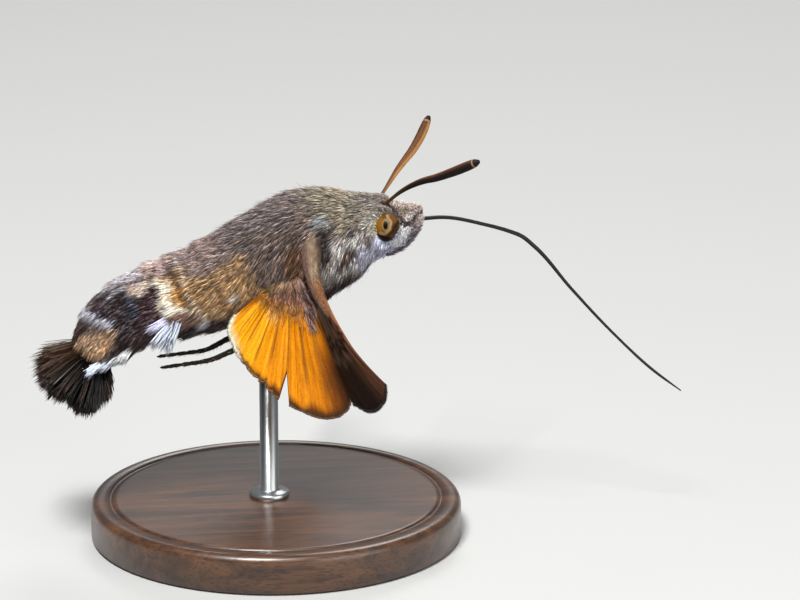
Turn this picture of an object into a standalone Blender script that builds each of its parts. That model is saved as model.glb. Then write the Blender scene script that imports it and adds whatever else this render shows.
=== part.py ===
"""A life-size hummingbird hawk moth, hovering with its proboscis out, over a plain round display stand.

The moth faces +X with its right side at -Y, up is +Z, and the origin is the centre of the base's underside.
Sizes are in millimetres here, and become metres where a mesh is made.
"""

import bmesh
import bpy
import numpy as np

MM = 0.001
GAP = 0.3  # between solids that meet
RIGHT = -1
LEFT = 1
SIDES = {"right": RIGHT, "left": LEFT}

# The body's own line: x, height of the centre, half height and half width, from the tail root to the brow.
BODY = np.array(
    [
        (-13.95, 14.35, 1.55, 1.9),
        (-12.92, 15.75, 2.3, 2.75),
        (-11.97, 16.75, 2.55, 3.2),
        (-10.88, 17.6, 2.65, 3.4),
        (-9.23, 18.36, 2.87, 3.6),
        (-7.18, 18.95, 3.19, 3.75),
        (-4.84, 19.65, 3.45, 3.85),
        (-2.11, 20.6, 3.9, 4.0),
        (-0.23, 21.4, 4.12, 4.2),
        (2.7, 22.5, 4.14, 4.3),
        (5.18, 23.25, 3.55, 3.8),
        (6.68, 23.72, 2.93, 2.95),
        (7.96, 23.97, 2.47, 2.35),
        (9.24, 24.18, 1.82, 1.82),
        (10.1, 24.62, 0.98, 1.25),
        (10.8, 24.95, 0.4, 0.75),
        (11.2, 25.0, 0.18, 0.38),
    ]
)
BODY_SIDES = 28
BODY_STEP = 0.95
TAIL_ROOT_X = -13.75
WAIST_X = -2.5
ABDOMEN_SPLIT_X = -6.3
NECK_X = 6.6
BROW_X = 11.2

EYE_PLACE = (8.28, 1.5, 24.1)
EYE_RADII = (0.97, 1.0, 1.06)

PALP_ROOT = (9.6, 0.75, 22.72)
PALP_TIP = (11.05, 0.7, 24.7)
PALP_BOW = 0.12
PALP_RADII = ((0.0, 0.35), (0.35, 0.47), (0.7, 0.45), (1.0, 0.24))

ANTENNA_ROOT = (8.15, 1.15, 25.75)
ANTENNA_REACH = {"right": (6.23, -5.2, 4.45), "left": (4.66, 6.85, 4.35)}
ANTENNA_BOW = {"right": 0.5, "left": -0.35}
ANTENNA_BOW_EARLY = 0.6  # under 1, the bow is highest in the half next to the head
ANTENNA_RADII = ((0.0, 0.25), (0.3, 0.26), (0.75, 0.38), (0.93, 0.3), (1.0, 0.13))

PROBOSCIS_ROUTE = (
    (10.6, 24.2),
    (13.0, 24.28),
    (15.7, 23.67),
    (17.6, 23.08),
    (18.7, 22.6),
    (19.66, 21.78),
    (22.49, 18.4),
    (25.69, 14.83),
    (28.91, 11.68),
    (31.1, 9.95),
)
PROBOSCIS_KNEE = 0.385  # share of the length at which it bends down
PROBOSCIS_RADII = ((0.0, 0.3), (0.4, 0.26), (0.85, 0.25), (1.0, 0.13))

# Hip, knee, ankle and tip of each leg of one side, with y as the distance from the middle.
LEGS = {
    "fore": ((3.3, 1.2, 20.5), (4.3, 1.7, 18.85), (1.7, 1.95, 17.3), (0.0, 1.8, 16.6)),
    "mid": ((1.9, 2.2, 20.0), (2.7, 2.75, 17.6), (-0.6, 2.6, 16.4), (-2.6, 2.3, 15.5)),
    "hind": ((0.6, 1.7, 19.0), (-1.2, 1.9, 16.1), (-5.03, 1.3, 14.35), (-8.6, 1.3, 13.85)),
}
LEG_RADII = ((0.0, 0.36), (0.3, 0.33), (0.36, 0.28), (0.62, 0.26), (1.0, 0.2))

MEMBRANE = 0.5
VEIN_HEIGHT = 0.14
VEIN_HALF_WIDTH = 0.016  # as a share of the fan of veins
VEINS_FULL_FROM = 0.33  # share of the wing's length past which its veins stand at their full height
RIM_THINNER = 0.6
FOREWING_ROOT = (2.16, 3.4, 24.08)
FOREWING_TIP = (5.93, 19.6, 17.27)
FOREWING_TORNUS = (5.4, 10.8, 14.05)
FOREWING_SAG = (-0.96, 0.0, -0.56)
FOREWING_HIND_ROOT = (0.3, 2.2)  # hind corner of the root, along the span and square to it
FOREWING_EDGE_BULGE = 0.75
FOREWING_EDGE_OUT = (0.75, 0.66)
FOREWING_VEINS = (0.06, 0.16, 0.27, 0.38, 0.5, 0.62, 0.74, 0.87)
FOREWING_ROWS = 12
HINDWING_ROOT = (1.18, 4.0, 21.61)
HINDWING_TIP = (3.94, 9.4, 12.08)
HINDWING_TORNUS = (-3.94, 5.0, 17.27)
# How far the hindwing reaches from its root at each angle from its tip, in degrees.
HINDWING_REACH = np.array(
    [(-5, 10.4), (0, 11.3), (5, 11.3), (16, 10.25), (32, 9.15), (45, 8.3), (60, 7.5), (69, 6.8), (73, 5.9)]
)
HINDWING_ROOT_START = 0.3
HINDWING_ROOT_WIDTH = 1.2
HINDWING_CROWN = 0.36  # how far the middle stands up from the plane
HINDWING_VEINS = (0.08, 0.2, 0.32, 0.45, 0.57, 0.69, 0.8, 0.91)
HINDWING_ROWS = 10
TEAR_ANGLE = 23.1
TEAR_HALF_ANGLE = 2.2
TEAR_DEPTH = 2.1

# A lock is a flat tapered tuft of long scales. Each row is a share of its length, with the shares of its full
# width and depth there.
LOCK_SHAPE = np.array(
    [(0.0, 0.6, 1.0), (0.3, 0.9, 1.0), (0.6, 1.0, 0.75), (0.85, 0.7, 0.5), (1.0, 0.22, 0.3)]
)

# The brush at the tail's end. Its locks turn from straight back at the top to straight down at the bottom.
TAIL_ANGLE = 51.7
FAN_ANGLE = 60.0
FAN_TURN = 52.0
FAN_SPREAD = 42.0
FAN_LOCKS = 46
FAN_LENGTH = 5.0
FAN_SHORTER_AT_RIM = 2.1
FAN_CORE = 2.2
FAN_CORE_TAPER = 0.45
FAN_ROOTS_REACH = 0.78  # of the way from the middle to the rim
FAN_ROOT_DEPTH = 0.35
FAN_LOCK_WIDTH = 1.0
FAN_LOCK_DEPTH = 0.42
FAN_LOCK_CURL = -0.25

# Tufts at each side of the abdomen: x of the root, degrees round from the belly, number of locks, length, and
# the degrees that they turn down.
SIDE_TUFTS = (
    (-7.3, 62.0, 5, 2.7, 38.0),
    (-9.0, 66.0, 4, 2.0, 32.0),
    (-10.9, 56.0, 4, 2.1, 40.0),
)
TUFT_LOCK_WIDTH = 0.75
TUFT_LOCK_DEPTH = 0.4
TUFT_LOCK_CURL = -0.1
TUFT_FAN = 30.0
TUFT_LEAN = 0.42
TUFT_ROOT_DEPTH = 0.55
TUFT_ROOT_SPREAD = 0.5
SEED = 7

BASE_RADIUS = 14.0
BASE_HEIGHT = 3.0
BASE_BEVEL = 0.6
STAND_X = -0.5
BASE_SIDES = 64
ROD_RADIUS = 0.7
ROD_SIDES = 24
ROD_INTO_BREAST = 20.0  # height that the rod is made to, before the breast is cut from its top

FINISHES = {
    "fur": ((0.22, 0.17, 0.12), 0.9, 0.0),
    "dark_fur": ((0.05, 0.035, 0.025), 0.9, 0.0),
    "forewing": ((0.16, 0.1, 0.06), 0.8, 0.0),
    "hindwing": ((0.8, 0.33, 0.03), 0.75, 0.0),
    "eye": ((0.25, 0.14, 0.04), 0.25, 0.0),
    "horn": ((0.06, 0.035, 0.02), 0.6, 0.0),
    "proboscis": ((0.015, 0.012, 0.01), 0.3, 0.0),
    "stand_wood": ((0.06, 0.03, 0.015), 0.45, 0.0),
    "stand_steel": ((0.6, 0.6, 0.6), 0.3, 1.0),
}


def finish(name):
    """The Principled material of that name, made once."""
    found = bpy.data.materials.get(name)
    if found:
        return found
    colour, roughness, metallic = FINISHES[name]
    material = bpy.data.materials.new(name)
    material.use_nodes = True
    shader = material.node_tree.nodes["Principled BSDF"]
    shader.inputs["Base Color"].default_value = (*colour, 1.0)
    shader.inputs["Roughness"].default_value = roughness
    shader.inputs["Metallic"].default_value = metallic
    return material


def solid(name, points, faces, finish_name):
    """An object from points in millimetres, with its faces turned outwards."""
    mesh = bpy.data.meshes.new(name)
    mesh.from_pydata((np.asarray(points) * MM).tolist(), [], np.asarray(faces).tolist())
    work = bmesh.new()
    work.from_mesh(mesh)
    bmesh.ops.remove_doubles(work, verts=work.verts, dist=1e-7)
    bmesh.ops.recalc_face_normals(work, faces=work.faces)
    work.to_mesh(mesh)
    work.free()
    mesh.shade_smooth()
    mesh.materials.append(finish(finish_name))
    made = bpy.data.objects.new(name, mesh)
    bpy.context.scene.collection.objects.link(made)
    return made


def keep_largest(mesh):
    """Leaves only the closed surface that holds the most volume."""
    work = bmesh.new()
    work.from_mesh(mesh)
    left = set(work.faces)
    islands = []
    while left:
        island = {left.pop()}
        edge_of_it = list(island)
        while edge_of_it:
            face = edge_of_it.pop()
            near = {other for edge in face.edges for other in edge.link_faces} & left
            left -= near
            island |= near
            edge_of_it += near
        volume = sum(
            face.verts[0].co.dot(a.co.cross(b.co))
            for face in island
            for a, b in zip(face.verts[1:], face.verts[2:])
        )
        islands.append((volume, island))
    islands.sort(key=lambda pair: pair[0])
    spare = [face for _, island in islands[:-1] for face in island]
    bmesh.ops.delete(work, geom=spare, context="FACES")
    bmesh.ops.triangulate(work, faces=work.faces)
    work.to_mesh(mesh)
    work.free()


def combine(target, operation, pieces):
    """One Boolean of the target with all the pieces, applied. The pieces are then removed."""
    group = bpy.data.collections.new("pieces")
    bpy.context.scene.collection.children.link(group)
    for piece in pieces:
        group.objects.link(piece)
    modifier = target.modifiers.new(operation, "BOOLEAN")
    modifier.operation = operation
    modifier.operand_type = "COLLECTION"
    modifier.collection = group
    bpy.context.view_layer.update()
    graph = bpy.context.evaluated_depsgraph_get()
    mesh = bpy.data.meshes.new_from_object(target.evaluated_get(graph))
    target.modifiers.clear()
    keep_largest(mesh)
    target.data = mesh
    for piece in pieces:
        bpy.data.objects.remove(piece)
    bpy.data.collections.remove(group)


def smooth(at, stations, values):
    """A cubic through the values, with the slope at each station taken from its two neighbours."""
    at = np.clip(at, stations[0], stations[-1])
    slopes = np.gradient(values, stations, axis=0)
    i = np.clip(np.searchsorted(stations, at) - 1, 0, len(stations) - 2)
    step = stations[i + 1] - stations[i]
    f = (at - stations[i]) / step
    if np.ndim(values) > 1:
        step = step[:, None]
        f = f[:, None]
    return (
        (2 * f**3 - 3 * f**2 + 1) * values[i]
        + (f**3 - 2 * f**2 + f) * step * slopes[i]
        + (3 * f**2 - 2 * f**3) * values[i + 1]
        + (f**3 - f**2) * step * slopes[i + 1]
    )


def loft(rings):
    """Points and triangles of a stack of closed rings, with each end closed round its own middle."""
    rows, sides = rings.shape[:2]
    points = np.concatenate([rings.reshape(-1, 3), rings[0].mean(0)[None], rings[-1].mean(0)[None]])
    i, j = np.meshgrid(np.arange(rows - 1), np.arange(sides), indexing="ij")
    a = (i * sides + j).ravel()
    b = (i * sides + (j + 1) % sides).ravel()
    walls = np.concatenate([np.stack([a, b, b + sides], 1), np.stack([a, b + sides, a + sides], 1)])
    k = np.arange(sides)
    first = np.stack([(k + 1) % sides, k, np.full(sides, rows * sides)], 1)
    last = np.stack([k, (k + 1) % sides, np.full(sides, rows * sides + 1)], 1)
    last[:, :2] += (rows - 1) * sides
    return points, np.concatenate([walls, first, last])


def body_rings(start, end, grow=0.0):
    """Elliptical rings square to the body's line, from one x to another. Grow makes them wider all round."""
    count = max(3, int(round((end - start) / BODY_STEP)) + 1)
    x = np.linspace(start, end, count)
    z, half_height, half_width = smooth(x, BODY[:, 0], BODY[:, 1:]).T
    slope = (smooth(x + 0.05, BODY[:, 0], BODY[:, 1]) - smooth(x - 0.05, BODY[:, 0], BODY[:, 1])) / 0.1
    length = np.hypot(1.0, slope)
    turn = np.linspace(0, 2 * np.pi, BODY_SIDES, endpoint=False)
    up = (half_height + grow)[:, None] * np.sin(turn)
    side = (half_width + grow)[:, None] * np.cos(turn)
    return np.stack([x[:, None] - up * (slope / length)[:, None], side, z[:, None] + up / length[:, None]], 2)


def body_part(name, start, end, finish_name="fur", grow=0.0):
    return solid(name, *loft(body_rings(start, end, grow)), finish_name)


def path_rings(path, radii, sides):
    """Round rings square to a path."""
    along = np.gradient(path, axis=0)
    along /= np.linalg.norm(along, axis=1)[:, None]
    spread = path[-1] - path[0]
    guide = np.eye(3)[np.argmin(np.abs(spread))]
    across = np.cross(along, guide)
    across /= np.linalg.norm(across, axis=1)[:, None]
    over = np.cross(across, along)
    turn = np.linspace(0, 2 * np.pi, sides, endpoint=False)
    round_it = np.cos(turn)[:, None] * across[:, None] + np.sin(turn)[:, None] * over[:, None]
    return path[:, None] + radii[:, None, None] * round_it


def tube(name, path, radius_stations, sides, finish_name, grow=0.0):
    """A round tapered tube along the path. The stations give the radius at shares of its length."""
    stations = np.array(radius_stations)
    share = along_share(path)
    radii = np.interp(share, stations[:, 0], stations[:, 1]) + grow
    return solid(name, *loft(path_rings(path, radii, sides)), finish_name)


def along_share(path):
    """How far each point is along a path, from 0 to 1."""
    steps = np.linalg.norm(np.diff(path, axis=0), axis=1)
    return np.concatenate([[0.0], np.cumsum(steps)]) / steps.sum()


def ellipsoid(name, centre, radii, finish_name, grow=0.0, rows=12, sides=20):
    turn = np.linspace(0.02, np.pi - 0.02, rows)
    spin = np.linspace(0, 2 * np.pi, sides, endpoint=False)
    ring = np.stack(
        [
            np.sin(turn)[:, None] * np.cos(spin),
            np.repeat(np.cos(turn)[:, None], sides, 1),
            np.sin(turn)[:, None] * np.sin(spin),
        ],
        2,
    )
    return solid(name, *loft(np.array(centre) + ring * (np.array(radii) + grow)), finish_name)


def on_side(place, side):
    """A place given for one side, as distance from the middle, put on the right or the left."""
    return np.array(place, float) * (1, side, 1)


def eyes(head):
    for word, side in SIDES.items():
        place = on_side(EYE_PLACE, side)
        combine(head, "DIFFERENCE", [ellipsoid("socket", place, EYE_RADII, "eye", GAP)])
        ellipsoid(f"eye_{word}", place, EYE_RADII, "eye", rows=14, sides=24)


def palps():
    for word, side in SIDES.items():
        share = np.linspace(0, 1, 7)[:, None]
        path = on_side(PALP_ROOT, side) * (1 - share) + on_side(PALP_TIP, side) * share
        path[:, 0] += PALP_BOW * np.sin(np.pi * share[:, 0])
        palp = tube(f"palp_{word}", path, PALP_RADII, 14, "fur")
        combine(palp, "DIFFERENCE", [head_cutter(), proboscis_cutter()])


def head_cutter():
    return body_part("cutter", NECK_X - 1, BROW_X, grow=GAP)


def thorax_cutter():
    return body_part("cutter", WAIST_X - 3, NECK_X + 1, grow=GAP)


def proboscis_path(start, end, count):
    route = np.array([(x, 0.0, z) for x, z in PROBOSCIS_ROUTE])
    return smooth(np.linspace(start, end, count), along_share(route), route)


def proboscis_cutter():
    path = proboscis_path(0.0, 0.2, 6)
    return tube("cutter", path, ((0, PROBOSCIS_RADII[0][1]), (1, PROBOSCIS_RADII[0][1])), 12, "horn", GAP)


def proboscis():
    stations = np.array(PROBOSCIS_RADII)
    length = np.linalg.norm(np.diff([(x, z) for x, z in PROBOSCIS_ROUTE], axis=0), axis=1).sum()
    for name, start, end, count in (
        ("proboscis_upper", 0.0, PROBOSCIS_KNEE - GAP / length / 2, 14),
        ("proboscis_lower", PROBOSCIS_KNEE + GAP / length / 2, 1.0, 14),
    ):
        path = proboscis_path(start, end, count)
        ends = [(0.0, np.interp(start, *stations.T)), (1.0, np.interp(end, *stations.T))]
        inside = [((at - start) / (end - start), r) for at, r in PROBOSCIS_RADII if start < at < end]
        made = tube(name, path, ends[:1] + inside + ends[1:], 10, "proboscis")
        if start == 0.0:
            combine(made, "DIFFERENCE", [head_cutter()])


def antennae():
    for word, side in SIDES.items():
        share = np.linspace(0, 1, 14)
        root = on_side(ANTENNA_ROOT, side)
        path = root + share[:, None] * np.array(ANTENNA_REACH[word])
        path[:, 2] += ANTENNA_BOW[word] * np.sin(np.pi * share**ANTENNA_BOW_EARLY)
        antenna = tube(f"antenna_{word}", path, ANTENNA_RADII, 10, "horn")
        combine(antenna, "DIFFERENCE", [head_cutter()])


def legs():
    for kind, places in LEGS.items():
        for word, side in SIDES.items():
            corners = np.array([on_side(place, side) for place in places])
            share = along_share(corners)
            at = np.unique(np.concatenate([np.linspace(0, 1, 9), share[1:-1] - 0.03, share[1:-1] + 0.03]))
            path = np.stack([np.interp(at, share, axis) for axis in corners.T], 1)
            leg = tube(f"leg_{kind}_{word}", path, LEG_RADII, 8, "dark_fur")
            combine(leg, "DIFFERENCE", [thorax_cutter()])


def fan_columns(veins):
    """Where a wing's lines lie from its front edge, 0, to its hind edge, 1, and how high each stands."""
    at = [0.0, 1.0]
    height = [0.0, 0.0]
    for vein in veins:
        at += [vein - VEIN_HALF_WIDTH, vein, vein + VEIN_HALF_WIDTH]
        height += [0.0, VEIN_HEIGHT, 0.0]
    order = np.argsort(at)
    return np.array(at)[order], np.array(height)[order]


def wing(name, starts, ends, heights, rows, bend, finish_name):
    """A membrane of lines from starts to ends, split alike on both faces, with its veins raised on both.

    Starts and ends are places in the wing's plane, and bend(places) puts them in space.
    """
    share = np.linspace(0, 1, rows + 1)[:, None, None]
    middle = bend(starts * (1 - share) + ends * share)
    across = np.gradient(middle, axis=1)
    along = np.gradient(middle, axis=0)
    normal = np.cross(along, across)
    normal /= np.linalg.norm(normal, axis=2)[:, :, None]
    half = MEMBRANE / 2 + heights * np.minimum(1.0, share[:, :, 0] / VEINS_FULL_FROM)
    half[-1] *= RIM_THINNER
    upper = middle + normal * half[:, :, None]
    lower = middle - normal * half[:, :, None]
    across_count = middle.shape[1]
    i, j = np.meshgrid(np.arange(rows), np.arange(across_count - 1), indexing="ij")
    a = (i * across_count + j).ravel()
    face = np.concatenate(
        [
            np.stack([a, a + 1, a + 1 + across_count], 1),
            np.stack([a, a + 1 + across_count, a + across_count], 1),
        ]
    )
    count = (rows + 1) * across_count
    index = np.arange(count).reshape(rows + 1, across_count)
    rim = np.concatenate([index[0], index[1:, -1], index[-1, -2::-1], index[-2:0:-1, 0]])
    after = np.roll(rim, -1)
    wall = np.concatenate(
        [np.stack([after, rim, rim + count], 1), np.stack([after, rim + count, after + count], 1)]
    )
    points = np.concatenate([upper.reshape(-1, 3), lower.reshape(-1, 3)])
    return solid(name, points, np.concatenate([face, face[:, ::-1] + count, wall]), finish_name)


def wing_axes(root, tip, tornus):
    """The root, the direction to the tip, and the direction square to it towards the hind corner."""
    root, tip, tornus = (np.array(place) for place in (root, tip, tornus))
    along = (tip - root) / np.linalg.norm(tip - root)
    across = tornus - root - (tornus - root) @ along * along
    return root, along, across / np.linalg.norm(across)


def forewing(word, side):
    root, along, across = wing_axes(FOREWING_ROOT, FOREWING_TIP, FOREWING_TORNUS)
    span = np.linalg.norm(np.array(FOREWING_TIP) - FOREWING_ROOT)
    tornus = (np.array(FOREWING_TORNUS) - root) @ np.stack([along, across], 1)
    at, heights = fan_columns(FOREWING_VEINS)
    tip = np.array((span, 0.0))
    starts = at[:, None] * np.array(FOREWING_HIND_ROOT)
    bulge = FOREWING_EDGE_BULGE * np.sin(np.pi * at) * (1 - np.abs(2 * at - 1) ** 6)
    ends = tip + at[:, None] * (tornus - tip) + bulge[:, None] * np.array(FOREWING_EDGE_OUT)

    def bend(places):
        share = places[..., :1] / span
        crown = 4 * share * (1 - share)
        flat = root + places[..., :1] * along + places[..., 1:] * across
        return (flat + crown * np.array(FOREWING_SAG)) * (1, side, 1)

    return wing(f"forewing_{word}", starts, ends, heights, FOREWING_ROWS, bend, "forewing")


def hindwing(word, side):
    root, along, across = wing_axes(HINDWING_ROOT, HINDWING_TIP, HINDWING_TORNUS)
    at, heights = fan_columns(HINDWING_VEINS)
    angles = np.interp(at, (0, 1), HINDWING_REACH[[0, -1], 0])
    torn = side == RIGHT
    if torn:
        extra = np.array([TEAR_ANGLE - TEAR_HALF_ANGLE, TEAR_ANGLE, TEAR_ANGLE + TEAR_HALF_ANGLE])
        heights = np.concatenate([heights, np.zeros(3)])
        angles = np.concatenate([angles, extra])
        order = np.argsort(angles)
        angles = angles[order]
        heights = heights[order]
    reach = smooth(angles, HINDWING_REACH[:, 0], HINDWING_REACH[:, 1])
    if torn:
        reach -= TEAR_DEPTH * np.clip(1 - np.abs(angles - TEAR_ANGLE) / TEAR_HALF_ANGLE, 0, 1)
    rays = np.stack([np.cos(np.radians(angles)), np.sin(np.radians(angles))], 1)
    starts = rays * HINDWING_ROOT_START
    starts[:, 1] += np.linspace(0, HINDWING_ROOT_WIDTH, len(angles))
    ends = rays * reach[:, None]

    def bend(places):
        share = places[..., :1] / reach.max()
        crown = -4 * HINDWING_CROWN * share * (1 - share) * np.cross(along, across)
        return (root + places[..., :1] * along + places[..., 1:] * across + crown) * (1, side, 1)

    return wing(f"hindwing_{word}", starts, ends, heights, HINDWING_ROWS, bend, "hindwing")


def wings():
    for word, side in SIDES.items():
        combine(forewing(word, side), "DIFFERENCE", [thorax_cutter()])
        combine(hindwing(word, side), "DIFFERENCE", [thorax_cutter()])


def lock(root, along, face, length, width, depth, curl):
    """A flat lock from its root. Its broad side looks along face, and it bends that way by the curl."""
    along = along / np.linalg.norm(along)
    face = face - face @ along * along
    face /= np.linalg.norm(face)
    across = np.cross(along, face)
    share, wide, deep = LOCK_SHAPE.T[:, :, None]
    middle = root + share * length * along + share**2 * curl * face
    side = wide * width / 2 * across
    over = deep * depth / 2 * face
    rings = np.stack([middle + side, middle + over, middle - side, middle - over], 1)
    return solid("lock", *loft(rings), "dark_fur")


def tail_fan(draw):
    """A short core with flat locks, set in a sunflower pattern over the end of the tail."""
    tail = body_rings(TAIL_ROOT_X, TAIL_ROOT_X + 1.0)[0]
    middle = tail.mean(0)
    axis = np.array((-np.cos(np.radians(TAIL_ANGLE)), 0.0, -np.sin(np.radians(TAIL_ANGLE))))
    up = np.array((axis[2], 0.0, -axis[0]))
    side = np.array((0.0, 1.0, 0.0))
    share = np.linspace(0, 1, 5)[:, None, None]
    rings = middle + (tail - middle) * (1 - FAN_CORE_TAPER * share**2) + axis * (GAP + share * FAN_CORE)
    fan = solid("tail_fan", *loft(rings), "dark_fur")
    half_height = np.abs((tail - middle) @ up).max()
    half_width = np.abs(tail[:, 1]).max()
    locks = []
    for i in range(FAN_LOCKS):
        out = np.sqrt((i + 0.5) / FAN_LOCKS)
        turn = i * np.pi * (3 - np.sqrt(5))
        high = out * np.sin(turn)
        wide = out * np.cos(turn)
        place = high * half_height * up + wide * half_width * side
        root = middle + FAN_ROOTS_REACH * place + axis * (GAP + FAN_ROOT_DEPTH)
        fall = np.radians(FAN_ANGLE - FAN_TURN * high + draw.uniform(-4, 4))
        swing = np.radians(FAN_SPREAD * wide + draw.uniform(-4, 4))
        along = np.array((-np.cos(swing) * np.cos(fall), np.sin(swing), -np.cos(swing) * np.sin(fall)))
        length = (FAN_LENGTH - FAN_SHORTER_AT_RIM * abs(high) ** 2.5) * draw.uniform(0.88, 1.0)
        face = high * up + wide * side
        locks.append(lock(root, along, face, length, FAN_LOCK_WIDTH, FAN_LOCK_DEPTH, FAN_LOCK_CURL))
    combine(fan, "UNION", locks)
    combine(fan, "DIFFERENCE", [body_part("cutter", TAIL_ROOT_X, TAIL_ROOT_X + 4, grow=GAP)])


def side_tufts(abdomen, draw):
    """Fans of flat locks that stand out behind and below at each side of the abdomen."""
    locks = []
    for x, round_from_belly, count, length, down in SIDE_TUFTS:
        z, half_height, half_width = smooth(np.array([x]), BODY[:, 0], BODY[:, 1:])[0]
        turn = np.radians(round_from_belly)
        for side in SIDES.values():
            surface = np.array((x, side * half_width * np.sin(turn), z - half_height * np.cos(turn)))
            out = np.array((0.0, side * np.sin(turn) / half_width, -np.cos(turn) / half_height))
            out /= np.linalg.norm(out)
            for share in np.linspace(-1, 1, count):
                fall = np.radians(down + TUFT_FAN * share + draw.uniform(-3, 3))
                along = np.array((-np.cos(fall), 0.0, -np.sin(fall))) + TUFT_LEAN * out
                root = surface - TUFT_ROOT_DEPTH * out + TUFT_ROOT_SPREAD * share * np.array((1.0, 0.0, 0.0))
                reach = length * draw.uniform(0.85, 1.0)
                locks.append(lock(root, along, out, reach, TUFT_LOCK_WIDTH, TUFT_LOCK_DEPTH, TUFT_LOCK_CURL))
    combine(abdomen, "UNION", locks)


def circle(radius, sides):
    turn = np.linspace(0, 2 * np.pi, sides, endpoint=False)
    return radius * np.stack([np.cos(turn), np.sin(turn), np.zeros(sides)], 1)


def stand():
    """A turned wooden disc with a bevelled edge, and a steel rod whose top is cut to the breast above it."""
    turned = [
        (BASE_RADIUS, 0.0),
        (BASE_RADIUS, BASE_HEIGHT - BASE_BEVEL),
        (BASE_RADIUS - BASE_BEVEL, BASE_HEIGHT),
    ]
    rings = np.array([circle(radius, BASE_SIDES) + (0, 0, height) for radius, height in turned])
    solid("stand_base", *loft(rings), "stand_wood")
    ends = (BASE_HEIGHT + GAP, ROD_INTO_BREAST)
    rings = np.array([circle(ROD_RADIUS, ROD_SIDES) + (STAND_X, 0, height) for height in ends])
    rod = solid("stand_rod", *loft(rings), "stand_steel")
    combine(rod, "DIFFERENCE", [thorax_cutter()])


def main():
    for left_over in list(bpy.data.objects):
        bpy.data.objects.remove(left_over)
    draw = np.random.default_rng(SEED)
    abdomen = body_part("abdomen_rear", TAIL_ROOT_X, ABDOMEN_SPLIT_X - GAP / 2)
    side_tufts(abdomen, draw)
    body_part("abdomen_front", ABDOMEN_SPLIT_X + GAP / 2, WAIST_X - GAP / 2)
    body_part("thorax", WAIST_X + GAP / 2, NECK_X - GAP / 2)
    head = body_part("head", NECK_X + GAP / 2, BROW_X)
    eyes(head)
    palps()
    antennae()
    proboscis()
    legs()
    wings()
    tail_fan(draw)
    stand()


main()
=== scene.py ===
"""The looks of a life-size hummingbird hawk moth on a display stand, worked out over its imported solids.

Sizes are in millimetres here and become metres where a mesh is made. The moth faces +X, its right side is
at -Y and up is +Z. A place on the body is x along the body's line and an angle round from the middle of the
back, negative on the right side. A mark's degrees round from the back count for both sides.
"""

import bpy
import numpy as np
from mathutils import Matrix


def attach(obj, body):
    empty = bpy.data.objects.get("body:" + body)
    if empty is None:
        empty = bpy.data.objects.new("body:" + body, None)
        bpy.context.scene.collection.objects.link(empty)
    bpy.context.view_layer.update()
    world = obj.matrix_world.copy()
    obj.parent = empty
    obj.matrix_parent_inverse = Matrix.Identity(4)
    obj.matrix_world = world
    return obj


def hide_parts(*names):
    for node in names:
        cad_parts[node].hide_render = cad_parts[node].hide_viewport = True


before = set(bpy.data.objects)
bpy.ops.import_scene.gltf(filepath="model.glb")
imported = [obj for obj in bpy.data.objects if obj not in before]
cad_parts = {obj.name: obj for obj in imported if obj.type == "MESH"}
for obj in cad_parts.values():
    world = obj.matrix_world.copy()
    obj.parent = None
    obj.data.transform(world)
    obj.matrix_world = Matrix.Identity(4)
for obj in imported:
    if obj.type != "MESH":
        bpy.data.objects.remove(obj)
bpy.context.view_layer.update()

MM = 0.001
SIDES = {"right": -1, "left": 1}
SEED = 11
FULL_TURN = 2 * np.pi
# The way ahead and a little outwards, square to the photo's view, with y as the distance from the middle.
AHEAD = np.array((0.99, 0.139, 0.0))
PATCH = 0.003  # size of one tuft's patch on the unwrap of the skin
MOST_TRIANGLES = 190000  # in one piece of the coat
# Each kind of tuft: shares of its length at its rings, with its width and thickness there as shares of its
# width.
TUFT_RINGS = np.array([(0.0, 0.75, 0.4), (0.38, 1.0, 0.36), (0.74, 0.72, 0.22)])
SHORT_TUFT_RINGS = np.array([(0.0, 0.8, 0.4), (0.5, 1.0, 0.32)])
BLUNT_TUFT_RINGS = np.array([(0.0, 0.7, 0.4), (0.5, 1.0, 0.36), (0.88, 0.95, 0.24)])

# The body's own line: x, height of the centre, half height and half width, from the tail root to the brow.
BODY = np.array([
    (-13.95, 14.35, 1.55, 1.9), (-12.92, 15.75, 2.3, 2.75), (-11.97, 16.82, 2.62, 3.2),
    (-10.88, 17.68, 2.74, 3.4), (-9.23, 18.43, 2.94, 3.6), (-7.18, 18.95, 3.19, 3.75),
    (-4.84, 19.65, 3.45, 3.85), (-2.11, 20.6, 3.9, 4.0), (-0.23, 21.4, 4.12, 4.2),
    (2.7, 22.6, 4.27, 4.3), (5.18, 23.32, 3.65, 3.8), (6.68, 23.72, 2.93, 2.95),
    (7.96, 23.97, 2.47, 2.35), (9.24, 24.18, 1.82, 1.82), (10.1, 24.62, 0.98, 1.25),
    (10.8, 24.95, 0.4, 0.75), (11.2, 25.0, 0.18, 0.38),
])
BODY_RADIUS = 3.6  # a middling one, to turn millimetres round the body into angles
# How deep the skin lies under the coat: x and millimetres.
COAT_DEPTH = ((-13.95, 0.2), (-12.0, 0.28), (5.0, 0.3), (7.5, 0.22), (9.5, 0.12), (11.2, 0.06))
TAIL_ROOT_X = -13.75
BROW_X = 11.15
SKIN_ROWS = 270
SKIN_SIDES = 160
SKIN_DARKER = 0.4  # than the markings of the coat over it, as painted shade under the coat
# The abdomen's rings end at these places. A ring's hind edge stands over the next ring and slants forward
# below.
RING_ENDS = (-13.9, -12.4, -10.75, -8.55, -6.8, -4.4, -2.3)
RING_SLANT = 0.0087  # millimetres forward for each degree round from the back
RING_STEP = 0.13
RINGS_SHOW_X = -5.5  # the rings behind this show in the coat

EYE_PLACE = np.array((8.28, 1.5, 24.1))
EYE_RADII = np.array((0.97, 1.0, 1.06))
EYE_ROWS = 110
EYE_SIDES = 160
SOCKET_DEPTH = 0.42
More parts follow.
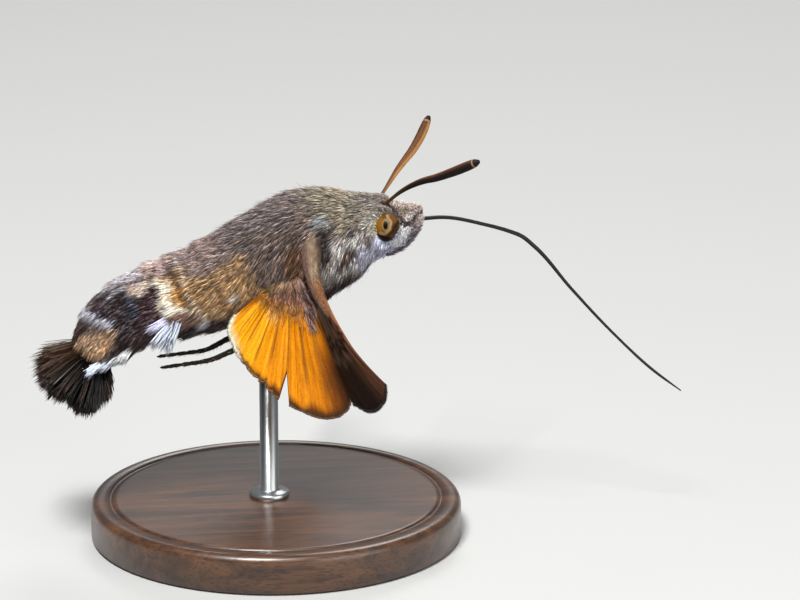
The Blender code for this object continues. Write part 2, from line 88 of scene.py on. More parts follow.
# The plane that an eye's pattern is laid out on faces outwards, a little back and up. Its axes are AHEAD
# and this.
EYE_UP = np.array((0.038, -0.273, 0.961))
# The eye's marks on that plane, in millimetres from its centre: colour, middle, half size, softness.
EYE_MARKS = (
    ("#7b4f18", (-0.6, 0.15), (0.3, 0.8), 0.5),
    ("#38230f", (0.6, -0.2), (0.3, 0.55), 0.5),
    # A painted highlight at the top of the front.
    ("#5c3f1e", (0.5, 0.55), (0.3, 0.26), 0.6),
)
EYE_SPOT = ((-0.1, 0.12), (0.17, 0.31))  # middle and half size
# The pale band and the dark line at the front: the places that they run through on that plane.
EYE_BAND = ((0.0, 0.85), (0.3, 0.32), (0.23, -0.2), (-0.2, -0.54), (-0.5, -0.46))
EYE_LINE = ((0.86, 0.42), (0.46, -0.24), (-0.05, -0.9))
ORBIT_SCALES = 1100
# The scales over the eye's lower front rim lie this far to each side of this angle, in degrees up from the
# front, and outside a straight line that passes the eye's middle at this share of its radius.
EYELID_SCALES = 520
EYELID_MIDDLE = -39.0
EYELID_HALF = 52.0
EYELID_LINE = 0.64

# Length of the coat along the body: x and millimetres, on the back, the sides and the belly.
COAT_LENGTH = np.array([
    (-13.9, 1.0, 1.1, 0.9), (-9.0, 1.0, 1.1, 0.9), (-6.5, 1.0, 1.2, 1.0), (-3.0, 1.4, 1.4, 1.2),
    (2.0, 1.45, 1.7, 1.3), (4.5, 1.35, 1.6, 1.2), (6.3, 0.95, 1.1, 1.1), (7.6, 0.7, 0.6, 0.8),
    (9.0, 0.5, 0.42, 0.5), (11.2, 0.42, 0.4, 0.42),
])
# The body's coats: name, tufts, x from and to, width of a tuft, and how much more than usual its tufts are
# lifted.
BODY_COATS = (
    ("abdomen_rear_coat", 20000, -13.85, -6.2, 0.06, 1.0),
    ("abdomen_front_coat", 15000, -6.9, -2.0, 0.06, 1.0),
    ("thorax_coat", 38000, -2.6, 6.4, 0.058, 1.25),
    ("head_coat", 14000, 6.0, 11.1, 0.045, 1.1),
)
SCATTER_GRID = 181
CLUMP = 0.2  # size of the tufts' clumps, and of the larger patches that are lighter or darker
BIG_CLUMP = 1.0
STRAY_SHARE = 0.015  # of the tufts stand up higher than the rest
STUBBLE_X = (9.0, 9.7)  # where stubble begins, and where all of the coat is stubble
GAP_LIGHT = 0.4  # of the dark tufts that stand for gaps in the coat: painted shade
# A pale strand, partly a pale hair and partly a painted glint, is its marking's colour times the first and
# plus the second.
PALE_TIMES = 1.6
PALE_ADDS = (0.13, 0.1, 0.104)
WARM_OR_COLD = (1.0, 0.1, -1.1)  # how each tuft's tint moves its red, green and blue

# The body's markings, painted one over the other. Each is a colour, the x that it runs from and to, the
# degrees round from the back that it runs from and to, and how soft its edges are along and round.
MARKINGS = (
    ("#887b73", -15, 12, 0, 180, 1, 1),
    ("#928775", 3.2, 8, 0, 70, 2.0, 25),
    ("#8a7c79", -3.5, 2.6, 0, 38, 2.0, 20),
    ("#a58f89", -6.8, -2.8, 0, 48, 1.5, 18),
    ("#ba9368", -6.6, -1.6, 55, 122, 1.6, 16),
    ("#86736a", -1.2, 3.4, 42, 98, 1.8, 22),
    ("#cdc9c4", 2.4, 6.0, 80, 128, 0.8, 14),
    ("#4a4040", -2.0, 4.6, 130, 180, 1.0, 14),
    ("#3b2f2a", -6.2, -1.0, 122, 180, 1.0, 12),
    # Pale breast, whose lilac tint is painted reflected light.
    ("#d3d5ee", 5.2, 9.6, 102, 180, 0.8, 14),
    ("#ffecd6", -8.95, -6.6, 38, 98, 0.35, 8),
    ("#e8a03c", -7.5, -6.4, 36, 86, 1.0, 12),
    ("#96744f", -8.2, -6.6, 28, 42, 0.5, 8),
    ("#927262", -8.6, -6.1, 98, 124, 0.5, 8),
    ("#2e2220", -9.0, -6.0, 124, 180, 0.5, 10),
    ("#cdb0a8", -9.4, -6.7, 0, 34, 0.6, 8),
    ("#c8bfc6", -11.5, -9.3, 0, 32, 0.5, 8),
    ("#e4cab8", -10.3, -8.95, 28, 52, 0.35, 6),
    ("#34161e", -11.0, -8.65, 52, 180, 0.3, 8),
    ("#271a20", -12.2, -10.4, 34, 104, 0.4, 8),
    ("#33262b", -12.4, -11.3, 8, 46, 0.35, 10),
    ("#ecba90", -13.9, -12.45, 60, 98, 0.35, 10),
    ("#47332f", -13.0, -10.9, 96, 150, 0.5, 10),
    ("#2a1f1c", -14, -8.8, 146, 180, 0.5, 10),
    ("#5e4a42", -14, -12.7, 0, 40, 0.3, 10),
    ("#958b81", 6.2, 9.0, 0, 44, 0.6, 12),
    ("#b3aca2", 6.5, 7.6, 52, 96, 0.4, 12),
    ("#d8c3b8", 9.3, 11.4, 0, 90, 0.4, 8),
    ("#ffffff", 8.5, 9.8, 92, 134, 0.4, 8),
    # Pale below the head, whose lilac tint is painted reflected light.
    ("#babbd6", 7.0, 8.6, 104, 150, 0.4, 10),
)
# Finer marks: colour, half width and softness in millimetres, and the places that the mark runs through,
# each as x and degrees round from the back. A single place is a round spot.
STROKES = (
    # Painted shade just behind the ring edge at x -6.8, down the side.
    ("#7a5634", 0.1, 0.35, ((-6.95, 34), (-6.75, 60), (-6.5, 88))),
    ("#dac9b4", 0.07, 0.1, ((-6.72, 8), (-6.62, 40), (-6.47, 75), (-6.0, 100), (-5.78, 118))),
    # Painted shade just behind that ring edge, on the back.
    ("#3f3029", 0.07, 0.12, ((-6.9, 6), (-6.85, 30))),
    # Painted shade just behind the ring edge at x -8.55, on the back.
    ("#4a3c44", 0.05, 0.1, ((-8.5, 12), (-8.5, 36))),
    ("#5a4c4a", 0.06, 0.12, ((-8.59, 34), (-10.35, 22), (-11.17, 17), (-12.4, 18))),
    # A painted sheen: bluish, on the black patch.
    ("#494c5a", 0.16, 0.3, ((-10.2, 50), (-10.35, 76))),
    ("#d6d3e4", 0.09, 0.2, ((-12.65, 4), (-12.25, 46), (-11.95, 68))),
    ("#e2b894", 0.24, 0.35, ((-12.45, 80), (-13.2, 58), (-13.65, 36))),
    ("#d8cfc6", 0.22, 0.3, ((-3.41, 96),)),
    ("#c2c4d4", 0.2, 0.3, ((-6.11, 122),)),
    ("#9a9d9f", 0.3, 0.55, ((3.66, 57),)),
    ("#8c6448", 0.45, 0.7, ((1.5, 82), (1.2, 95), (1.2, 106))),
    # Painted shadow beside the forewing's root.
    ("#241c19", 0.25, 0.3, ((3.6, 66), (3.3, 96))),
    ("#443833", 0.2, 0.14, ((5.49, 76),)),
    ("#b9b4b6", 0.07, 0.07, ((5.49, 76),)),
    ("#55402f", 0.24, 0.3, ((5.1, 98), (4.4, 106))),
    ("#4a3d3e", 0.3, 0.4, ((3.0, 142), (4.7, 142))),
    ("#56404a", 0.35, 0.4, ((3.4, 165), (5.2, 150), (6.2, 144))),
    ("#3f2822", 0.12, 0.12, ((8.2, 34), (8.72, 38), (9.25, 50), (9.4, 68), (9.5, 84), (9.8, 104))),
    ("#d8c070", 0.1, 0.12, ((9.8, 53),)),
    ("#fdf6f4", 0.18, 0.14, ((10.0, 82),)),
)
STROKE_COVER = 0.9
# How far a random mottle shifts the edges of the markings, in millimetres along and degrees round, and the
# share of the shift along that the finer marks take.
RAGGED_ALONG = 0.2
RAGGED_ROUND = 6.0
STROKE_RAGGED = 0.3

# Tufts that stand out at each side of the abdomen: name, x of the middle root, degrees round from the back,
# how far the outer lobes' roots are from the middle one's, length, degrees that the tuft turns down,
# degrees that its outer lobes turn away from that, number of lobes, number of hair scales, and colour.
SIDE_TUFTS = (
    # The whites have a faint blue tint, painted for the cool light in their shade.
    ("main", -7.72, 103.0, 0.22, 3.1, 53.0, 21.0, 2, 360, "#e6eeff"),
    ("upper", -8.1, 100.0, 0.2, 2.3, 25.0, 6.0, 2, 100, "#e2e2ff"),
    ("small", -11.75, 126.0, 0.25, 2.0, 38.0, 8.0, 2, 320, "#ffffff"),
    ("rear", -13.3, 115.0, 0.24, 3.05, 20.0, 11.0, 3, 210, "#e6ecff"),
    ("last", -13.0, 122.0, 0.22, 1.9, 30.0, 6.0, 2, 90, "#e4eaff"),
)
TUFT_LEAN = 0.32  # how far they lean out from the body

# The brush at the tail's end. Angles are degrees down from straight back: the tail's own, the middle
# locks', how far the top and bottom locks turn from the middle ones, and how far the side ones spread. At
# each gap the locks part, by its second value to each side. No lock falls lower than the last angle.
TAIL_ANGLE = 51.7
BRUSH_ANGLE = 60.0
BRUSH_TURN = 47.0
BRUSH_SPREAD = 42.0
BRUSH_LOCKS = 120
BRUSH_HAIRS = 34
BRUSH_LENGTH = 4.55
BRUSH_SHORTER_AT_RIM = 2.1
BRUSH_GAPS = ((54.0, 7.0), (87.0, 5.0))
BRUSH_LOWEST = 98.0
WISP_SHARE = 0.012

# The line of a palp from under the head up in front of the brow, with y as the distance from the middle,
# and its radius at shares of its length.
PALP_ROUTE = np.array([
    (8.0, 0.6, 21.95), (8.7, 0.65, 22.12), (9.33, 0.7, 22.48), (9.86, 0.72, 22.98), (10.33, 0.72, 23.6),
    (10.68, 0.7, 24.15), (10.88, 0.66, 24.55),
])
PALP_RADII = ((0.0, 0.22), (0.2, 0.3), (0.45, 0.36), (0.8, 0.32), (1.0, 0.14))
PALP_ROWS = 40
PALP_SIDES = 40
PALP_SCALES = 2200

ANTENNA_ROOT = np.array((8.15, 1.15, 25.75))
# From the root straight to the tip.
ANTENNA_REACH = {"right": (6.23, -5.2, 4.35), "left": (4.66, 6.85, 4.4)}
# How far each antenna bends up from the straight line to its tip: share of its length and millimetres.
ANTENNA_BOWS = {
    "right": ((0.0, 0.0), (0.18, 0.42), (0.32, 0.5), (0.42, 0.44), (0.55, 0.24), (0.7, 0.12), (1.0, 0.0)),
    "left": ((0.0, 0.0), (0.2, -0.06), (0.35, -0.12), (0.5, -0.3), (0.7, -0.52), (0.85, -0.42), (1.0, 0.0)),
}
ANTENNA_RADII = (
    (0.0, 0.12), (0.1, 0.135), (0.2, 0.17), (0.35, 0.23), (0.6, 0.31), (0.8, 0.365), (0.9, 0.36),
    (0.95, 0.32), (0.98, 0.27), (1.0, 0.1),
)
ANTENNA_RINGS = 62
ANTENNA_ROWS = 400
ANTENNA_SIDES = 28

# The x and z of the proboscis, and its radius at shares of its length.
PROBOSCIS_ROUTE = (
    (10.3, 24.2), (13.0, 24.28), (15.7, 23.67), (17.6, 23.08), (18.7, 22.6), (19.66, 21.78),
    (22.49, 18.4), (25.69, 14.83), (28.91, 11.68), (31.1, 9.95),
)
PROBOSCIS_RADII = (
    (0.0, 0.17), (0.2, 0.155), (0.385, 0.18), (0.5, 0.15), (0.75, 0.12), (0.95, 0.1), (1.0, 0.05),
)
PROBOSCIS_RINGS = 150
PROBOSCIS_ROWS = 420
PROBOSCIS_SIDES = 32

# Hip, knee, ankle and tip of each leg of one side, with y as the distance from the middle.
LEGS = {
    "fore": ((3.2, 1.2, 20.5), (4.0, 1.65, 19.25), (1.7, 1.95, 17.3), (0.0, 1.8, 16.6)),
    "mid": ((1.9, 2.2, 20.0), (2.7, 2.75, 17.6), (-0.6, 2.6, 16.4), (-2.6, 2.3, 15.5)),
    "hind": ((0.6, 1.7, 19.0), (-1.2, 1.9, 16.05), (-5.03, 1.35, 14.25), (-8.75, 1.45, 13.9)),
}
# Radius of a leg at shares of its length.
LEG_RADII = ((0.0, 0.3), (0.25, 0.25), (0.34, 0.2), (0.6, 0.185), (0.68, 0.165), (0.94, 0.125), (1.0, 0.05))
LEG_ROWS = 220
LEG_SIDES = 18
LEG_SCALES = 1400

# The forewing's corners, how far its middle bows away from them, and where its hind edge starts, along and
# across from the root. The left wings mirror the right ones.
FOREWING_ROOT = np.array((2.16, 3.4, 24.08))
FOREWING_TIP = np.array((5.93, 19.6, 17.27))
FOREWING_TORNUS = np.array((5.4, 10.8, 14.05))
FOREWING_SAG = np.array((-0.96, 0.0, -0.56))
FOREWING_HIND_ROOT = np.array((0.3, 2.2))
# How far the outer edge bulges and its front corner is rounded, and the way that the bulge goes.
FOREWING_EDGE_BULGE = 1.0
FOREWING_TIP_ROUND = 0.6
FOREWING_EDGE_OUT = np.array((0.75, 0.66))
FOREWING_VEINS = (0.02, 0.06, 0.16, 0.27, 0.38, 0.5, 0.62, 0.74, 0.87, 0.985)
# The dark lines across the forewing: share of the way out, half width, and how dark they are.
FOREWING_LINES = ((0.26, 0.012, 0.8), (0.31, 0.008, 0.6), (0.585, 0.01, 0.8), (0.635, 0.012, 0.85))
HINDWING_FRINGE_SCALES = 3400
HINDWING_HAIR_SCALES = 4800
HINDWING_FRONT_SCALES = 900
HINDWING_DOWN_SCALES = 900
FOREWING_FRINGE_SCALES = 2200
FOREWING_HAIR_SCALES = 1500
SHOULDER_ROWS = 90
SHOULDER_SIDES = 40
SHOULDER_SCALES = 1500
SHOULDER_REACH = 0.5
# The thick front edge at the forewing's root: share of the wing's length, shift forwards, half width and
# half thickness.
SHOULDER = np.array([
    (0.0, 0.3, 0.72, 0.34), (0.1, 0.02, 0.7, 0.36), (0.2, -0.2, 0.55, 0.34), (0.3, -0.28, 0.45, 0.28),
    (0.42, -0.2, 0.28, 0.17), (0.5, -0.12, 0.16, 0.1),
])
HINDWING_ROOT = np.array((1.18, 4.0, 21.61))
HINDWING_TIP = np.array((3.94, 9.4, 12.08))
HINDWING_TORNUS = np.array((-3.94, 5.0, 17.27))
# How far the hindwing reaches from its root at each angle from its tip, in degrees.
HINDWING_REACH = np.array([
    (-9, 8.0), (-5, 10.3), (0, 11.15), (5, 11.15), (16, 10.25), (24, 9.55), (32, 8.85), (38, 8.35),
    (45, 7.85), (53, 7.35), (60, 6.85), (69, 6.2), (73, 5.4),
])
HINDWING_ROOT_START = 0.3
HINDWING_ROOT_WIDTH = 1.2
HINDWING_CROWN = 0.36
HINDWING_VEINS = (0.015, 0.08, 0.2, 0.32, 0.45, 0.57, 0.69, 0.8, 0.91, 0.985)
# The tear in the right hindwing and the nick beside it, in degrees from the tip, and the depth of the
# frayed edge.
TEAR_ANGLE = 23.1
TEAR_HALF_ANGLE = 2.2
TEAR_DEPTH = 2.1
NICK_ANGLE = 33.5
NICK_HALF_ANGLE = 3.2
NICK_DEPTH = 0.3
FRAYED_DEPTH = 0.28
WING_ROWS = 70
WING_COLUMNS = 170
MEMBRANE_HALF = 0.045  # half of a membrane's thickness
WING_VEIN_HEIGHT = 0.06
WING_VEIN_HALF_WIDTH = 0.007  # as a share of the way across the wing
WING_PLEAT = 0.13  # height of the pleats between the veins

BASE_RADIUS = 14.0
BASE_HEIGHT = 3.0
BASE_ROUND = 0.6
BASE_CHAMFER = 0.25
GROOVE = (1.5, 0.16, 0.12)  # how far in from the base's edge, half width and depth
WOOD_TURN = (0.15, 0.05, 0.2)  # of the grain, in radians
STAND_X = -0.5
ROD_RADIUS = 0.7
ROD_TOP = 17.6
ROD_COLLAR = ((1.5, -0.1), (1.5, 0.35), (1.4, 0.45), (0.85, 0.5), (ROD_RADIUS, 0.6))  # radius and height

# Each light: degrees round and up from the moth, distance and size in millimetres, and power in watts.
LIGHTS = (
    ("key", -25, 58, 450, 120, 3.5),
    ("fill", 40, 15, 500, 400, 1.5),
    ("rim", 165, 45, 450, 200, 0.9),
)
LIGHTS_AIM = (3.0, 0.0, 18.0)
# The photo's view: the place in its middle, degrees round and up, distance, and width of what it shows.
VIEW_CENTRE = np.array((9.467, 0.0, 18.0))
VIEW_AZIMUTH = -8.0
VIEW_ELEVATION = 16.0
VIEW_DISTANCE = 300.0
VIEW_WIDTH = 60.0

draw = np.random.default_rng(SEED)


def linear(hex_colour):
    """An sRGB hex colour as linear red, green and blue."""
    value = np.array([int(hex_colour[i : i + 2], 16) for i in (1, 3, 5)]) / 255
    return np.where(value <= 0.04045, value / 12.92, ((value + 0.055) / 1.055) ** 2.4)


def unit(vectors):
    """The vectors at a length of one."""
    return vectors / np.linalg.norm(vectors, axis=-1, keepdims=True)


def square_to(vectors, out):
    """Unit vectors along the part of the vectors that is square to out."""
    return unit(vectors - np.sum(vectors * out, -1, keepdims=True) * out)


def all_round(count):
    """Angles all the way round, evenly spaced."""
    return np.linspace(0, FULL_TURN, count, endpoint=False)


def step(value, low, high):
    """0 below low, 1 above high, and a smooth curve between."""
    t = np.clip((value - low) / (high - low), 0, 1)
    return t * t * (3 - 2 * t)


def window(value, low, high, soft):
    """1 from low to high, falling to 0 over the soft width that lies half inside and half outside."""
    return step(value, low - soft / 2, low + soft / 2) * (1 - step(value, high - soft / 2, high + soft / 2))


def smooth(at, stations, values):
    """A cubic through the values, with the slope at each station taken from its two neighbours."""
    at = np.clip(at, stations[0], stations[-1])
    slopes = np.gradient(values, stations, axis=0)
    i = np.clip(np.searchsorted(stations, at) - 1, 0, len(stations) - 2)
    gap = stations[i + 1] - stations[i]
    f = (at - stations[i]) / gap
    if np.ndim(values) > 1:
        gap = gap[..., None]
        f = f[..., None]
    return (
        (2 * f**3 - 3 * f**2 + 1) * values[i]
        + (f**3 - 2 * f**2 + f) * gap * slopes[i]
        + (3 * f**2 - 2 * f**3) * values[i + 1]
        + (f**3 - f**2) * gap * slopes[i + 1]
    )


def read_along(at, share, *tables):
    """The rows of each table at places between the shares that its own rows stand for."""
    return [np.stack([np.interp(at, share, column) for column in table.T], 1) for table in tables]


def eased(values, reach, mode="edge", **how):
    """A row of values, each replaced by the mean of those up to the reach before and after it."""
    return np.convolve(np.pad(values, reach, mode, **how), np.ones(2 * reach + 1) / (2 * reach + 1), "valid")


def mottle(a, b, seed):
    """Smooth random values from -1 to 1 over a plane, one knot to each unit, blended between the four knots
    that are near."""
    table = np.random.default_rng(seed).uniform(-1, 1, (64, 64))
    i = np.floor(a).astype(int)
    j = np.floor(b).astype(int)
    f = a - i
    g = b - j
    f = f * f * (3 - 2 * f)
    g = g * g * (3 - 2 * g)
    near = table[i % 64, j % 64] * (1 - g) + table[i % 64, (j + 1) % 64] * g
    far = table[(i + 1) % 64, j % 64] * (1 - g) + table[(i + 1) % 64, (j + 1) % 64] * g
    return near * (1 - f) + far * f


def line_distance(a, b, line):
    """How far each place (a, b) of a plane is from a line through the given places, or from a single
    one."""
    line = np.array(line, float)
    nearest = np.hypot(a - line[0, 0], b - line[0, 1])
    for start, end in zip(line[:-1], line[1:]):
        run = end - start
        share = np.clip(((a - start[0]) * run[0] + (b - start[1]) * run[1]) / (run @ run), 0, 1)
        nearest = np.minimum(nearest, np.hypot(a - start[0] - share * run[0], b - start[1] - share * run[1]))
    return nearest


def layered(colour, *layers):
    """A hex colour or an array of colours, with each shade of the layers laid over it as far as its mask
    says."""
    if isinstance(colour, str):
        colour = linear(colour)
    for shade, mask in layers:
        colour = colour + (linear(shade) - colour) * np.asarray(mask)[..., None]
    return colour


def unwrap(a, b, margin=0.05):
    """Shares of two directions as places on an unwrap, inside its margin."""
    return np.stack(np.broadcast_arrays(a, b), -1) * (1 - 2 * margin) + margin


def add(tree, kind, settings=(), values=(), links=()):
    """Adds one node with its settings, its sockets' values, and links to them from other nodes' outputs."""
    made = tree.nodes.new(kind)
    for name, value in dict(settings).items():
        setattr(made, name, value)
    for name, value in dict(values).items():
        made.inputs[name].default_value = value
    for name, (source, output) in dict(links).items():
        tree.links.new(source.outputs[output], made.inputs[name])
    return made


def piece(name, points, faces, finish, colours=None, uv=None, uv_name="OFBake"):
    """An object of triangles from points in millimetres, turned so that they face outwards: the volume that
    they enclose comes out positive. Colours and uv hold one row for each point."""
    a, b, c = points[faces[:, 0]], points[faces[:, 1]], points[faces[:, 2]]
    if np.sum(a * np.cross(b, c)) < 0:
        faces = faces[:, ::-1]
    mesh = bpy.data.meshes.new(name)
    mesh.vertices.add(len(points))
    mesh.vertices.foreach_set("co", (points * MM).astype(np.float32).ravel())
    mesh.loops.add(faces.size)
    mesh.loops.foreach_set("vertex_index", faces.astype(np.int32).ravel())
    mesh.polygons.add(len(faces))
    mesh.polygons.foreach_set("loop_start", np.arange(len(faces), dtype=np.int32) * 3)
    mesh.update(calc_edges=True)
    if colours is not None:
        layer = mesh.attributes.new("colour", "FLOAT_COLOR", "POINT")
        full = np.concatenate([colours, np.ones((len(colours), 1))], 1)
        layer.data.foreach_set("color", full.astype(np.float32).ravel())
    if uv is not None:
        layer = mesh.uv_layers.new(name=uv_name)
        layer.data.foreach_set("uv", uv[faces.ravel()].astype(np.float32).ravel())
    mesh.shade_smooth()
    mesh.materials.append(finishes[finish])
    made = bpy.data.objects.new(name, mesh)
    bpy.context.scene.collection.objects.link(made)
    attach(made, "root")
    return made


def lofted(name, rings, finish, shade=None, uv=None, uv_name="OFBake"):
    """A piece from a stack of closed rings, an array of rows by sides, with both ends closed round a middle
    point that follows the rings. Shade and uv spread out over the rings where they hold fewer rows."""
    rows, sides = rings.shape[:2]
    i, j = np.meshgrid(np.arange(rows - 1), np.arange(sides), indexing="ij")
    a = (i * sides + j).ravel()
    b = (i * sides + (j + 1) % sides).ravel()
    k = np.arange(sides)
    after = (k + 1) % sides
    last = (rows - 1) * sides
    faces = [
        np.stack([a, b, b + sides], 1),
        np.stack([a, b + sides, a + sides], 1),
        np.stack([after, k, np.full(sides, rows * sides)], 1),
        np.stack([last + k, last + after, np.full(sides, rows * sides + 1)], 1),
    ]

    def with_ends(table):
        """A table's rows in one list, followed by the middles of its first and its last ring."""
        if table is None:
            return None
        table = np.broadcast_to(table, (rows, sides, table.shape[-1]))
        return np.concatenate([table.reshape(-1, table.shape[-1]), table[:1].mean(1), table[-1:].mean(1)])

    faces = np.concatenate(faces)
    return piece(name, with_ends(rings), faces, finish, with_ends(shade), with_ends(uv), uv_name)


def body_line(x):
    """Height of the centre, half height, half width and slope of the body's line at x."""
    z, half_height, half_width = np.moveaxis(smooth(x, BODY[:, 0], BODY[:, 1:]), -1, 0)
    ahead, behind = (smooth(x + reach, BODY[:, 0], BODY[:, 1]) for reach in (0.05, -0.05))
    return z, half_height, half_width, (ahead - behind) / 0.1


def ring_share(x, turn):
    """How far back a place is in its ring of the abdomen: 0 at the ring's front and 1 at its hind edge."""
    level = x - RING_SLANT * np.abs(np.degrees(turn))
    ends = np.array(RING_ENDS)
    i = np.clip(np.searchsorted(ends, level), 1, len(ends) - 1)
    share = (ends[i] - level) / (ends[i] - ends[i - 1])
    return np.where((level > ends[0]) & (level < ends[-1]), np.clip(share, 0, 1), 0.0)


def on_body(x, turn):
    """Places on the skin: the ellipse square to the body's line at x, less the coat's depth. It widens a
    little towards the hind edge of each ring of the abdomen, and sinks round each eye."""
    z, half_height, half_width, slope = body_line(x)
    length = np.hypot(1.0, slope)

    def at_depth(depth):
        """The places of the ellipse made smaller by a depth."""
        up = np.maximum(half_height - depth, 0.02) * np.cos(turn)
        side = np.maximum(half_width - depth, 0.02) * np.sin(turn)
        return np.stack([x - up * slope / length, side, z + up / length], -1)

    depth = np.interp(x, *np.array(COAT_DEPTH).T) - RING_STEP * ring_share(x, turn) ** 2
    away = (at_depth(depth)[..., ::2] - EYE_PLACE[::2]) / EYE_RADII[::2]
    return at_depth(depth + SOCKET_DEPTH * (1 - step(np.linalg.norm(away, axis=-1), 0.85, 1.5)))


def body_frame(x, turn):
    """Each place on the skin with its unit vectors: back along the body, down round it, and out of it."""
    place = on_body(x, turn)
    back = unit(on_body(x - 0.03, turn) - on_body(x + 0.03, turn))
    down = unit(on_body(x, turn + np.copysign(0.02, turn)) - on_body(x, turn - np.copysign(0.02, turn)))
    out = np.cross(back, down)
    middle = np.stack([x, np.zeros_like(x), body_line(x)[0]], -1)
    out = unit(out * np.sign(np.sum(out * (place - middle), -1, keepdims=True)))
    return place, back, square_to(down, back), out


def turn_beside(place):
    """The angle round from the back at which the body is as high as each place."""
    z, half_height = body_line(place[:, 0])[:2]
    return np.arccos(np.clip((place[:, 2] - z) / half_height, -0.98, 0.98))


def markings(x, turn):
    """The body's colours. Each marking covers what is under it where x and the angle are in its range, both
    shifted by a random mottle so that its edge is ragged. The strokes come last, each as wide as it
    says."""
    degrees = np.abs(np.degrees(turn))
    side = np.sign(turn) * 20 + 40
    shift = mottle(x * 2.2 + 40, degrees / 9 + side, 3) + mottle(x * 0.9 + 40, degrees / 2 + side, 8)
    shift = RAGGED_ALONG * shift
    around = degrees + RAGGED_ROUND * mottle(x * 2 + 40, degrees / 14 + side, 4)
    colour = np.zeros(3)
    for shade, x_from, x_to, low, high, soft_along, soft_round in MARKINGS:
        low = low if low > 0 else -99
        high = high if high < 180 else 299
        mask = window(x + shift, x_from, x_to, soft_along) * window(around, low, high, soft_round)
        colour = layered(colour, (shade, mask))
    for shade, half, soft, line in STROKES:
        line = np.array(line, float)
        radius = np.interp(line[:, 0].mean(), BODY[:, 0], BODY[:, 2:].mean(1))
        flat = line * (1, np.radians(radius))
        away = line_distance(x + STROKE_RAGGED * shift, np.radians(degrees) * radius, flat)
        colour = layered(colour, (shade, STROKE_COVER * (1 - step(away, half, half + soft))))
    return colour


def body_uv(x, turn):
    """The skin unrolled: along the body and round it."""
    return unwrap((x - TAIL_ROOT_X) / (BROW_X - TAIL_ROOT_X), turn / FULL_TURN + 0.5, 0.02)


def skin():
    """One closed surface from the tail root to the brow, on a grid of x and the angle round."""
    x = np.linspace(TAIL_ROOT_X, BROW_X, SKIN_ROWS)
    turn = np.linspace(-np.pi, np.pi, SKIN_SIDES, endpoint=False) + np.pi / SKIN_SIDES
    x, turn = np.meshgrid(x, turn, indexing="ij")
    # The skin is darker than the coat's markings: painted shade under the coat.
    shade = markings(x, turn) * SKIN_DARKER
    made = lofted("skin", on_body(x, turn), "moth skin", shade, body_uv(x, turn))
    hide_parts("head", "thorax", "abdomen_front", "abdomen_rear")


def tuft_mesh(root, along, out, length, width, lift, droop, sway, root_colour, tip_colour, uv, rings):
    """Flat tapered tufts. The middle of each leaves its root at the lift angle, and sinks by the droop and
    swings by the sway with the square of the share of its length. Each ring is a low triangle, and the tip
    a point. The uv is the root's place on the unwrap."""
    across = np.cross(out, along)
    share, wide, deep = rings.T
    at = np.append(share, 1.0)[None, :, None]
    rise = np.sin(lift)[:, None, None] * at - droop[:, None, None] * at**2
    middle = root[:, None] + length[:, None, None] * (
        np.cos(lift)[:, None, None] * at * along[:, None]
        + rise * out[:, None]
        + sway[:, None, None] * at**2 * across[:, None]
    )
    half = (width[:, None] * wide / 2)[..., None] * across[:, None]
    top = (width[:, None] * deep)[..., None] * out[:, None]
    body = middle[:, :-1]
    points = np.stack([body - half, body + half, body + top], 2).reshape(len(root), -1, 3)
    points = np.concatenate([points, middle[:, -1:]], 1)
    rows = len(share)
    count = 3 * rows + 1
    k = np.arange(3)
    after = (k + 1) % 3
    faces = [np.array([[0, 2, 1]])]
    for low in range(0, 3 * rows - 3, 3):
        faces.append(np.stack([low + k, low + after, low + 3 + after], 1))
        faces.append(np.stack([low + k, low + 3 + after, low + 3 + k], 1))
    faces.append(np.stack([3 * rows - 3 + k, 3 * rows - 3 + after, np.full(3, count - 1)], 1))
    faces = (np.arange(len(root))[:, None, None] * count + np.concatenate(faces)).reshape(-1, 3)
    mix = np.append(np.repeat(share, 3), 1.0)
    shade = root_colour[:, None] * (1 - mix[:, None]) + tip_colour[:, None] * mix[:, None]
    spot = np.stack([np.append(np.tile([-0.5, 0.5, 0.0], rows), 0.0), mix - 0.5], 1)
    patch = uv[:, None] + spot * PATCH
    return points.reshape(-1, 3), faces, shade.reshape(-1, 3), patch.reshape(-1, 2)


def coat(name, root, along, out, length, width, lift, droop, sway, shade, uv,
         dark=0.6, light=0.95, tip=None, rings=SHORT_TUFT_RINGS, finish="hair scales", keep=None):
    """Makes a coat of tufts, as tuft_mesh says, in as many pieces as keep each under the limit. Their roots
    have the shade times dark, which paints shade deep in the coat, and their tips a colour of their own or
    the shade up to light. Keep marks the tufts to make."""
    tip = shade.clip(0, light) if tip is None else tip
    droop = np.broadcast_to(droop, len(root))
    tufts = (root, along, out, length, width, lift, droop, sway, shade * dark, tip, uv)
    order = np.arange(len(root)) if keep is None else np.flatnonzero(keep)
    parts = int(np.ceil(len(order) * (6 * len(rings) - 2) / MOST_TRIANGLES))
    made = []
    for i, pick in enumerate(np.array_split(order, parts)):
        points, faces, colours, patch = tuft_mesh(*[value[pick] for value in tufts], rings)
        full_name = f"{name}_{i + 1}" if parts > 1 else name
        made.append(piece(full_name, points, faces, finish, colours, patch))
    return made


def scatter(count, x_from, x_to):
    """Random places on the skin, spread evenly by its area."""
    x = np.linspace(x_from, x_to, SCATTER_GRID)
    turn = np.linspace(-np.pi, np.pi, SCATTER_GRID)
    grid = on_body(*np.meshgrid(x, turn, indexing="ij"))
    area = np.linalg.norm(np.cross(np.diff(grid, axis=0)[:, :-1], np.diff(grid, axis=1)[:-1]), axis=-1)
    middle_x, middle_turn = np.meshgrid((x[1:] + x[:-1]) / 2, (turn[1:] + turn[:-1]) / 2, indexing="ij")
    total = np.cumsum(area.ravel())
    pick = np.searchsorted(total, (np.arange(count) + draw.random(count)) / count * total[-1])
    pick = np.minimum(pick, len(total) - 1)
    spread = draw.random((2, count)) - 0.5
    return (
        middle_x.ravel()[pick] + spread[0] * (x[1] - x[0]),
        middle_turn.ravel()[pick] + spread[1] * (turn[1] - turn[0]),
    )


